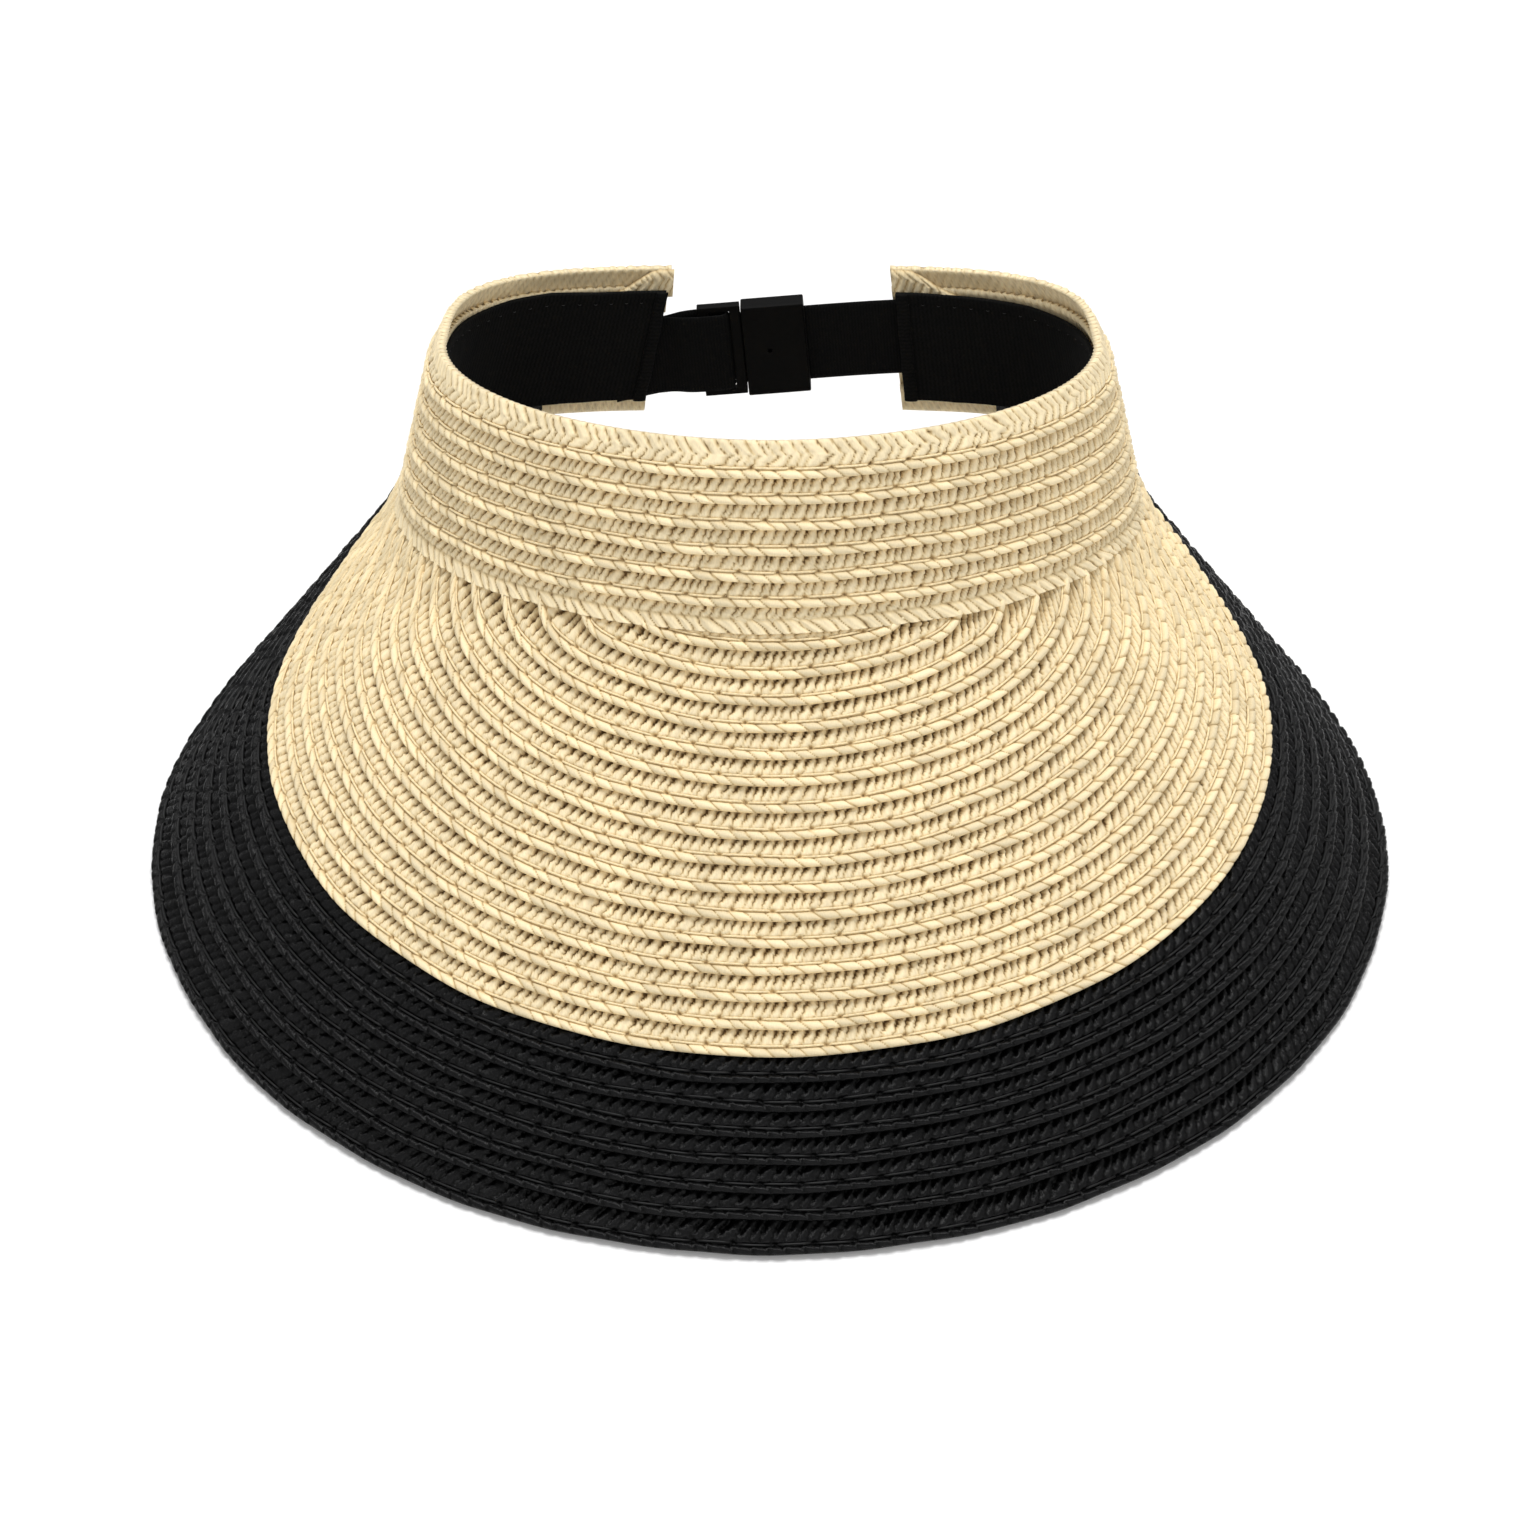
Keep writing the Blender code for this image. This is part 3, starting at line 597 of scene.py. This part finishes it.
class Nodes:
    """A material under construction."""

    def __init__(self, name):
        self.material = bpy.data.materials.new(name)
        self.material.use_nodes = True
        self.tree = self.material.node_tree
        self.shader = self.tree.nodes["Principled BSDF"]

    def add(self, kind, **settings):
        node = self.tree.nodes.new(kind)
        for key, value in settings.items():
            setattr(node, key, value)
        return node

    def link(self, source, target):
        self.tree.links.new(source, target)

    def value(self, node, key, number):
        node.inputs[key].default_value = number

    def attribute(self, name, output="Fac"):
        return self.add("ShaderNodeAttribute", attribute_name=name).outputs[output]

    def maths(self, operation, first, second):
        node = self.add("ShaderNodeMath", operation=operation)
        for k, item in enumerate((first, second)):
            if isinstance(item, (int, float)):
                node.inputs[k].default_value = item
            else:
                self.link(item, node.inputs[k])
        return node.outputs[0]

    def noise(self, scale, detail=3.0, vector=None, stretch=None):
        node = self.add("ShaderNodeTexNoise")
        self.value(node, "Scale", scale)
        self.value(node, "Detail", detail)
        source = vector or self.add("ShaderNodeTexCoord").outputs["Object"]
        if stretch:
            mapping = self.add("ShaderNodeMapping")
            mapping.inputs["Scale"].default_value = stretch[0]
            mapping.inputs["Rotation"].default_value = stretch[1]
            self.link(source, mapping.inputs["Vector"])
            source = mapping.outputs["Vector"]
        self.link(source, node.inputs["Vector"])
        return node.outputs["Fac"]

    def ramp(self, fac, stops):
        node = self.add("ShaderNodeValToRGB")
        elements = node.color_ramp.elements
        while len(elements) < len(stops):
            elements.new(0.5)
        for element, (place, colour) in zip(elements, stops):
            element.position = place
            element.color = (*colour, 1.0)
        self.link(fac, node.inputs["Fac"])
        return node.outputs["Color"]

    def mix(self, blend, fac, first, second):
        node = self.add("ShaderNodeMix", data_type="RGBA", blend_type=blend)
        for socket, item in ((node.inputs[0], fac), (node.inputs[6], first), (node.inputs[7], second)):
            if isinstance(item, (int, float)):
                socket.default_value = item
            elif isinstance(item, tuple):
                socket.default_value = (*item, 1.0)
            else:
                self.link(item, socket)
        return node.outputs[2]

    def bump(self, height, distance, strength=1.0):
        node = self.add("ShaderNodeBump")
        self.value(node, "Distance", distance)
        self.value(node, "Strength", strength)
        self.link(height, node.inputs["Height"])
        self.link(node.outputs["Normal"], self.shader.inputs["Normal"])


def straw_material(name, tones, roughness, specular):
    """Paper straw: painted shade in the seams between strands, with fibres along each strand and a tone of
    its own.
    """
    made = Nodes(name)
    coords = made.attribute("braid", "Vector")
    unshaded, strand = made.attribute("unshaded"), made.attribute("strand")
    # Painted crevice shade: the unshaded share picks the colour, from dark in a crevice to the straw's own
    # colour in the open.
    tone = made.ramp(unshaded, tuple(zip((0.0, 0.22, 0.6, 1.0), tones)))
    fibre = made.noise(1.0, 4.0, coords, ((7.0, 0.8, 1.0), (0, 0, math.radians(-27))))
    patch = made.noise(0.07, 3.0, coords)
    # The strand value brings each strand's own tone and the painted shade in its creases; fibres and patches
    # are the straw's grain.
    shade = made.maths("ADD", made.maths("MULTIPLY", strand, 0.26), made.maths("MULTIPLY", fibre, 0.34))
    shade = made.maths("ADD", made.maths("ADD", shade, made.maths("MULTIPLY", patch, 0.2)), 0.6)
    grey = made.add("ShaderNodeCombineColor")
    for key in ("Red", "Green", "Blue"):
        made.link(shade, grey.inputs[key])
    made.link(made.mix("MULTIPLY", 1.0, tone, grey.outputs[0]), made.shader.inputs["Base Color"])
    made.value(made.shader, "Roughness", roughness)
    made.value(made.shader, "Specular IOR Level", specular)
    made.bump(fibre, 0.0002, 0.8)
    return made.material


def plain_material(name, colour, roughness, scale, depth, specular=0.3):
    """Thread or moulded plastic: a fine grain in colour and surface."""
    made = Nodes(name)
    grain = made.noise(scale, 4.0)
    darker = tuple(c * 0.82 for c in colour)
    lighter = tuple(c * 1.15 for c in colour)
    tone = made.ramp(grain, ((0.3, darker), (0.7, lighter)))
    made.link(tone, made.shader.inputs["Base Color"])
    made.value(made.shader, "Roughness", roughness)
    made.value(made.shader, "Specular IOR Level", specular)
    made.bump(grain, depth, 0.8)
    return made.material


def woven_material(name, colour, pitch, roughness, specular):
    """Fine ribs across a strap or lining. The coordinates are u along and v across, in millimetres."""
    made = Nodes(name)
    coords = made.attribute("braid", "Vector")
    split = made.add("ShaderNodeSeparateXYZ")
    made.link(coords, split.inputs[0])
    along = made.maths("MULTIPLY", split.outputs[0], 2 * math.pi / pitch)
    across = made.maths("MULTIPLY", split.outputs[1], 2 * math.pi / (pitch * 1.3))
    ribs = made.maths("MULTIPLY", made.maths("SINE", along, 0), 0.5)
    cross = made.maths("MULTIPLY", made.maths("SINE", across, 0), made.maths("COSINE", along, 0))
    weave = made.maths("ADD", ribs, made.maths("MULTIPLY", cross, 0.35))
    fuzz = made.noise(1.6, 4.0, coords)
    total = made.maths("ADD", made.maths("MULTIPLY", weave, 0.35), fuzz)
    darker = tuple(c * 0.6 for c in colour)
    lighter = tuple(c * 1.5 for c in colour)
    tone = made.ramp(total, ((0.2, darker), (0.9, lighter)))
    made.link(tone, made.shader.inputs["Base Color"])
    made.value(made.shader, "Roughness", roughness)
    made.value(made.shader, "Specular IOR Level", specular)
    made.bump(total, 0.00018, 0.8)
    return made.material


# Straw colours, from painted shade at the bottom of a crevice to the straw's own colour on top of a strand.
STRAW_TONES_AND_SHADE = (
    (0.14, 0.08, 0.03),
    (0.56, 0.40, 0.20),
    (0.83, 0.67, 0.395),
    (0.95, 0.80, 0.525),
)
BLACK_TONES_AND_SHADE = (
    (0.0003, 0.0003, 0.0003),
    (0.0010, 0.0010, 0.0011),
    (0.0022, 0.0022, 0.0023),
    (0.0050, 0.0050, 0.0053),
)
NATURAL = straw_material("natural_straw", STRAW_TONES_AND_SHADE, 0.6, 0.2)
BLACK = straw_material("black_straw", BLACK_TONES_AND_SHADE, 0.22, 0.15)
NATURAL_THREAD = plain_material("natural_thread", (0.88, 0.72, 0.44), 0.6, 1500, 0.00008)
BLACK_THREAD = plain_material("black_thread", (0.006, 0.006, 0.0062), 0.45, 1500, 0.00008, specular=0.25)
SEAM_THREAD = plain_material("lining_thread", (0.05, 0.05, 0.05), 0.7, 1500, 0.00008, specular=0.1)
LINING = woven_material("ribbed_lining", (0.0056, 0.0057, 0.0056), 1.1, 0.9, 0.08)
WEBBING = woven_material("woven_webbing", (0.0046, 0.0047, 0.0047), 0.8, 0.85, 0.08)
PLASTIC = plain_material("moulded_plastic", (0.0040, 0.0039, 0.0038), 0.45, 900, 0.00002, specular=0.05)


# Straw rows and their sewing threads.


def place_piece(piece, body, nodes):
    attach(piece, body)
    if nodes:
        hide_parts(*nodes)
    return piece


def place_thread(name, rows, material):
    piece = thread_object(name, rows)
    piece.data.materials.append(material)
    place_piece(piece, "visor", [])


natural_rows = []
black_rows = []
for row in band_rows() + brim_rows():
    black = row.kind == "black"
    (black_rows if black else natural_rows).append(row)
    piece = row.mesh(STEP)
    piece.data.materials.append(BLACK if black else NATURAL)
    place_piece(piece, "visor", [row.name])
rows_with_thread = [row for row in natural_rows if row.kind != "foot"]
place_thread("natural_stitches", rows_with_thread, NATURAL_THREAD)
place_thread("black_stitches", black_rows, BLACK_THREAD)


# Closure, lining and folded corners.


def strip_object(name, upper, under, across, along, material):
    """A closed strip from lines of points that run along it, side by side across it."""
    upper, under, across = np.stack(upper, 1), np.stack(under, 1), np.stack(across, 1)
    ring = np.concatenate([upper, under[:, ::-1]], 1)
    uu = np.repeat(along[:, None], ring.shape[1], 1)
    vv = np.concatenate([across, across[:, ::-1]], 1)
    faces = tube_faces(ring.shape[0], ring.shape[1])
    points = world(ring).reshape(-1, 3)
    data = {"braid": np.stack([uu, vv, np.zeros_like(uu)], -1).reshape(-1, 3)}
    piece = mesh_object(name, points, outward(points, faces), data)
    piece.data.materials.append(material)
    return piece


def run_length(line):
    """How far along a line each of its points lies."""
    return np.concatenate([[0], np.cumsum(np.linalg.norm(np.diff(line, axis=0), axis=1))])


def smooth_line(points, step):
    """A smooth curve through these points, about one station every step."""
    fine = np.asarray(points, float)
    for _ in range(4):
        middle = (fine[:-1] + fine[1:]) / 2
        quarter = (fine[:-1] + middle) / 2
        rest = (fine[1:] + middle) / 2
        fine = np.concatenate([fine[:1], np.stack([quarter, rest], 1).reshape(-1, fine.shape[1]), fine[-1:]])
    length = run_length(fine)
    at = np.linspace(0, length[-1], int(length[-1] / step) + 1)
    return np.stack([np.interp(at, length, fine[:, k]) for k in range(fine.shape[1])], -1)


def closure_strap(name, line, width, thickness, material):
    """Webbing in the closure frame along a line of (along, away, middle height)."""
    line = smooth_line(line, 0.5)
    ahead = np.gradient(line[:, :2], axis=0)
    ahead /= np.linalg.norm(ahead, axis=1)[:, None]
    normal = np.stack([-ahead[:, 1], ahead[:, 0], np.zeros(len(ahead))], -1)
    selvedge = [0.43, 0.46, 0.49, 0.5]
    upper, under, across = [], [], []
    for share in [*np.negative(selvedge[::-1]), *np.linspace(-0.4, 0.4, 12), *selvedge]:
        thick = thickness / 2 * np.clip((0.5 - abs(share)) / 0.02, 0.35, 1)
        thick = thick - 0.12 * math.exp(-(((abs(share) - 0.44) / 0.012) ** 2))
        spread = line + share * width * np.array([0, 0, 1.0])
        upper.append(closure(spread + normal * thick))
        under.append(closure(spread - normal * thick))
        across.append(np.full(len(line), share * width))
    return strip_object(name, upper, under, across, run_length(line), material)


def wall_drop(along):
    """How far the band's back wall has curved away from its middle, this far along the strap."""
    share = np.abs((np.asarray(along, float) + CLOSURE_CENTRE[0]) / CROWN_HALF_WIDTH)
    return CROWN_BACK * (1 - (1 - share**BACK_POWER) ** (1 / BACK_POWER))


def left_strap():
    """The webbing: along the wall, round the clip's bar, and back outside its first layer."""
    bar_side = -21.5
    turn_middle = -12.5
    turn_radius = 2.15
    behind = np.linspace(-42.0, -26.0, 6)
    turns = np.radians(np.linspace(-90, 90, 13))
    along = [*behind, bar_side, *(turn_middle + turn_radius * np.cos(turns)), bar_side, *behind[::-1]]
    away = [
        *(-0.35 - wall_drop(behind)),
        -turn_radius,
        *(turn_radius * np.sin(turns)),
        turn_radius,
        *(1.2 - wall_drop(behind[::-1])),
    ]
    first = len(along) - len(behind)
    drop = TAIL_DROP * np.clip((np.arange(len(along)) - first + 1) / len(behind), 0, 1)
    line = np.column_stack([along, away, -drop])
    return closure_strap("left_webbing", line, WEBBING_WIDTH, WEBBING_THICKNESS, WEBBING)


def right_strap():
    """The elastic, from the socket along the wall."""
    along = np.linspace(5.5, 42.0, 14)
    line = np.column_stack([along, -wall_drop(along), np.zeros(len(along))])
    return closure_strap("right_elastic", line, ELASTIC_WIDTH, ELASTIC_THICKNESS, WEBBING)


def lining_depth(angles):
    """How far inside the band's surface the lining lies."""
    share = np.clip((np.abs(angles) - 128.0) / 15.0, 0, 1)
    return SWEATBAND_DEPTH + (SWEATBAND_DEPTH_AT_ENDS - SWEATBAND_DEPTH) * share


def lining_edges(angles):
    """The lining's lower and upper edges as shares of the band's height. Both rise towards the back."""
    size = np.abs(angles)
    low = SWEATBAND_FOOT - 0.06 * smooth_step(118.0, 148.0, size)
    high = SWEATBAND_TOP - 0.075 * smooth_step(118.0, 148.0, size) - 0.04 * smooth_step(60.0, 105.0, -angles)
    return low, np.maximum(high, 0.105)


def lining():
    """The sweatband: faintly ribbed cloth with a rolled edge above its top seam."""
    count = 500
    shares = [0, 0.01, 0.03, *np.linspace(0.06, 0.84, 16), 0.88, 0.9, 0.92, 0.95, 0.975, 0.99, 1.0]
    part = np.linspace(0, 1, count)
    upper, under, across = [], [], []
    for s in shares:
        middle = SWEATBAND_FOOT + (SWEATBAND_TOP - SWEATBAND_FOOT) * s
        start = band_end(-1, middle) + SWEATBAND_END_BACK
        end = band_end(1, middle) - SWEATBAND_END_BACK
        angles = start + (end - start) * part
        low, high = lining_edges(angles)
        place = low + (high - low) * s
        slack = 0.16 * np.sin(angles * 0.5 + 2 * s) * math.sin(math.pi * s) + 0.05 * np.sin(angles * 1.9)
        seam = -0.22 * math.exp(-(((s - 0.9) / 0.02) ** 2))
        roll = 0.35 * math.sqrt(max(0.0, 1 - ((s - 0.96) / 0.045) ** 2)) if s > 0.91 else 0.0
        face = lining_depth(angles) + CLOTH_HALF_THICK + slack * 0.6 + seam + roll * 0.5
        back = lining_depth(angles) - CLOTH_HALF_THICK - roll * 0.2
        upper.append(offset_point(crown_surface, angles, place, -face))
        under.append(offset_point(crown_surface, angles, place, -back))
        across.append(np.full(count, s * LINING_WIDTH))
    return strip_object("lining_cloth", upper, under, across, run_length(upper[8]), LINING)


def lining_hem(name, side):
    """The lining's end, folded over and sewn down on the head side."""
    part = np.linspace(0, 1, 60)
    depth = SWEATBAND_DEPTH_AT_ENDS + 0.5 + HEM_GAP
    wide = math.degrees(HEM_WIDTH / HEM_RADIUS)
    upper, under, across = [], [], []
    for s in np.linspace(0, 1, 9):
        low, high = lining_edges(np.full(len(part), band_end(side, 0.5)))
        place = low + (high - low) * part
        edge = band_end(side, place) - side * SWEATBAND_END_BACK
        angles = edge - side * wide * (s + 0.03 * np.sin(part * 17))
        plump_up = 0.4 * math.sqrt(max(0.0, 1 - (2 * s - 1) ** 2)) + 0.05
        puckers = 0.07 * np.sin(part * 60)
        upper.append(offset_point(crown_surface, angles, place, -(depth + plump_up * (1 + puckers))))
        under.append(offset_point(crown_surface, angles, place, -(depth - 0.3)))
        across.append(np.full(len(part), s * HEM_WIDTH))
    return strip_object(name, upper, under, across, part * LINING_WIDTH, LINING)


def loose_tubes(name, lines, radius, material, ring=5):
    """Thin threads along several lines of crown-frame points, as one mesh."""
    points, faces, count = [], [], 0
    for line in lines:
        ahead = np.gradient(line, axis=0)
        ahead /= np.linalg.norm(ahead, axis=1)[:, None]
        side = np.cross(ahead, [0.3, 0.5, 0.8])
        side /= np.linalg.norm(side, axis=1)[:, None]
        up = np.cross(side, ahead)
        turn = np.arange(ring) * 2 * math.pi / ring
        taper = np.ones(len(line))
        taper[[0, -1]] = 0.4
        around = side[:, None] * np.cos(turn)[None, :, None] + up[:, None] * np.sin(turn)[None, :, None]
        rings = line[:, None] + radius * taper[:, None, None] * around
        points.append(rings.reshape(-1, 3))
        faces += tube_faces(len(line), ring, count)
        count += len(line) * ring
    points = world(np.concatenate(points))
    piece = mesh_object(name, points, outward(points, faces))
    piece.data.materials.append(material)
    return piece


def lining_seam():
    """Short pale stitches below the lining's top edge."""
    lines = []
    for angle in np.arange(-155, 150, 2.9):
        angles = angle + np.linspace(0, 0.6, 4)
        low, high = lining_edges(angles)
        height = -(lining_depth(angles) + 0.4 + np.array([-0.2, 0.1, 0.1, -0.2]))
        lines.append(offset_point(crown_surface, angles, low + (high - low) * 0.9, height))
    return loose_tubes("lining_seam_stitches", lines, 0.1, SEAM_THREAD)


def frayed_fibres():
    """A few loose fibres at the lining's upper edge."""
    draws = np.random.default_rng(11)
    lines = []
    for _ in range(70):
        angle = draws.choice([-1, 1]) * draws.uniform(60, 118)
        place = lining_edges(np.array([angle]))[1][0] + draws.uniform(-0.01, 0.02)
        start = offset_point(crown_surface, np.array([angle]), np.array([place]), np.array([-2.6]))[0]
        reach = np.array([0, 0, 1.0]) * draws.uniform(0.8, 2.4) + draws.normal(0, 0.7, 3)
        bend = draws.normal(0, 0.5, 3)
        t = np.linspace(0, 1, 6)[:, None]
        lines.append(start + reach * t + bend * t * (1 - t) * 2)
    return loose_tubes("frayed_lining_fibres", lines, 0.035, SEAM_THREAD, 3)


def end_fold(name, side, seed):
    """The band's upper corner, folded in: its raw edge runs down from the corner to the lining."""
    long = np.linspace(0, FOLDED_CORNER_LENGTH, 70)
    top_place = 0.002 + 0.16 * smooth_step(3.5, FOLDED_CORNER_LENGTH, long)
    slope = 0.8 * side
    u = long + 40
    angles = band_end(side, 0.0) - side * np.degrees((long + 0.2) / CROWN_BACK) * 0.82
    upper, under, across, unshaded, strand = [], [], [], [], []
    for s in np.linspace(0, 1, 20):
        place = FOLDED_CORNER_FOOT + (top_place - FOLDED_CORNER_FOOT) * s
        v = (FOLDED_CORNER_FOOT - place) * SLANT_HEIGHT
        body, body_open, value = slanted_strands(u, v + 3.5, seed, 2.2, slope * 0.5, fibres=2, pull=0.3)
        other, other_open, _ = slanted_strands(u, v + 1.0, seed + 5, 2.2, -slope, fibres=2, pull=0.0)
        turn = smooth_step(0.66, 0.78, np.full_like(u, s))
        relief = body + (other - body) * turn
        is_open = body_open + (other_open - body_open) * turn
        rim = math.sqrt(max(0.0, 1 - (2 * s - 1) ** 4))
        face = 2.15 + 0.45 * rim + 0.85 * relief * rim + 0.1 * np.sin(long * 0.9 + 5 * s)
        upper.append(offset_point(crown_surface, angles, place, -face))
        under.append(offset_point(crown_surface, angles, place, np.full(len(angles), -1.9)))
        across.append(v)
        # Painted shade in the crevices between strands and towards both long edges of the flap.
        unshaded.append((0.3 + 0.7 * is_open) * (0.4 + 0.6 * rim))
        strand.append(value)
    piece = strip_object(name, upper, under, across, long, NATURAL)
    for key, values in (("unshaded", unshaded), ("strand", strand)):
        grid = np.stack(values, 1)
        made = piece.data.attributes.new(key, "FLOAT", "POINT")
        made.data.foreach_set("value", np.concatenate([grid, grid[:, ::-1]], 1).astype(np.float32).ravel())
    return piece


def latch():
    """The latch's arm and barb, with softened edges."""
    sides = [(0, 1, 3, 2), (4, 6, 7, 5), (0, 4, 5, 1), (2, 3, 7, 6), (0, 2, 6, 4), (1, 5, 7, 3)]
    points, faces = [], []
    for low, high in (LATCH_ARM, LATCH_BARB):
        faces += [[len(points) + corner for corner in side] for side in sides]
        points += [(x, y, z) for x in (low[0], high[0]) for y in (low[1], high[1]) for z in (low[2], high[2])]
    piece = mesh_object("latch_barb", world(closure(np.array(points))), outward(points, faces), smooth=False)
    rounding = piece.modifiers.new("rounding", "BEVEL")
    rounding.width = 0.0002
    rounding.segments = 3
    piece.data.materials.append(PLASTIC)
    return piece


left_hem = place_piece(lining_hem("left_lining_hem", -1), "visor", ["left_sweatband_hem"])
right_hem = place_piece(lining_hem("right_lining_hem", 1), "visor", ["right_sweatband_hem"])
seam = place_piece(lining_seam(), "visor", [])
fibres = place_piece(frayed_fibres(), "visor", [])
cloth = place_piece(lining(), "visor", ["sweatband"])
place_piece(end_fold("left_folded_corner", -1, 71), "visor", ["left_end_fold"])
place_piece(end_fold("right_folded_corner", 1, 72), "visor", ["right_end_fold"])
place_piece(left_strap(), "visor", ["left_strap"])
elastic = place_piece(right_strap(), "visor", ["right_elastic_strap"])


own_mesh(elastic)
barb = place_piece(latch(), "latch", ["buckle_latch"])
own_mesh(barb)
for name in ("buckle_clip", "buckle_socket"):
    frame["nodes"][name].data.materials.clear()
    frame["nodes"][name].data.materials.append(PLASTIC)

# Stage: camera, floor and light.

CAMERA_DISTANCE = 1100.0
CAMERA_ELEVATION = 24.29
CAMERA_ASIDE = 3.1
CAMERA_DROP = 63.47  # the aim's distance below the crown frame's origin, across the view
CAMERA_SCALE = 3.96  # pixels to the millimetre at the aim, of IMAGE_SIDE in all
IMAGE_SIDE = 1515
SENSOR = 36.0
FLOOR_HALF = 6.0  # metres, as are the lights' places and sizes
FLOOR_GAP = 0.0002
LIGHT_AIM = (0.0, 0.0, 0.05)


def make_camera():
    data = bpy.data.cameras.new("camera")
    camera = bpy.data.objects.new("camera", data)
    bpy.context.scene.collection.objects.link(camera)
    tilt = math.radians(CAMERA_ELEVATION)
    target = np.array([-CAMERA_ASIDE, -CAMERA_DROP * math.sin(tilt), -CAMERA_DROP * math.cos(tilt)])
    back = np.array([0.0, -math.cos(tilt), math.sin(tilt)])
    eye = Vector(world(target + back * CAMERA_DISTANCE))
    camera.location = eye
    camera.rotation_mode = "QUATERNION"
    camera.rotation_quaternion = (Vector(world(target)) - eye).to_track_quat("-Z", "Y")
    data.sensor_width = SENSOR
    data.lens = CAMERA_SCALE * CAMERA_DISTANCE / IMAGE_SIDE * SENSOR
    bpy.context.scene.camera = camera


def make_light(name, place, size, power):
    data = bpy.data.lights.new(name, "AREA")
    data.shape = "RECTANGLE"
    data.size, data.size_y = size
    data.energy = power
    light = bpy.data.objects.new(name, data)
    bpy.context.scene.collection.objects.link(light)
    light.location = Vector(place)
    light.rotation_mode = "QUATERNION"
    light.rotation_quaternion = (Vector(LIGHT_AIM) - Vector(place)).to_track_quat("-Z", "Y")


def make_floor():
    corners = [(x * FLOOR_HALF, y * FLOOR_HALF, 0) for x, y in ((-1, -1), (1, -1), (1, 1), (-1, 1))]
    floor = mesh_object("floor", corners, [(0, 1, 2, 3)])
    floor.location.z = -FLOOR_GAP
    made = Nodes("pale_floor")
    made.value(made.shader, "Base Color", (0.97, 0.97, 0.97, 1.0))
    made.value(made.shader, "Roughness", 0.9)
    made.value(made.shader, "Specular IOR Level", 0.1)
    floor.data.materials.append(made.material)


def make_surroundings():
    studio = bpy.data.worlds.new("studio")
    studio.use_nodes = True
    background = studio.node_tree.nodes["Background"]
    background.inputs["Color"].default_value = (1, 1, 1, 1)
    background.inputs["Strength"].default_value = 0.5
    bpy.context.scene.world = studio


make_camera()
make_floor()
make_light("key", place=(0.0, 0.4, 1.7), size=(0.8, 0.8), power=21)
make_light("front", place=(0.3, -1.5, 1.1), size=(1.4, 0.9), power=6)
make_surroundings()
bpy.context.scene.view_settings.view_transform = "Standard"
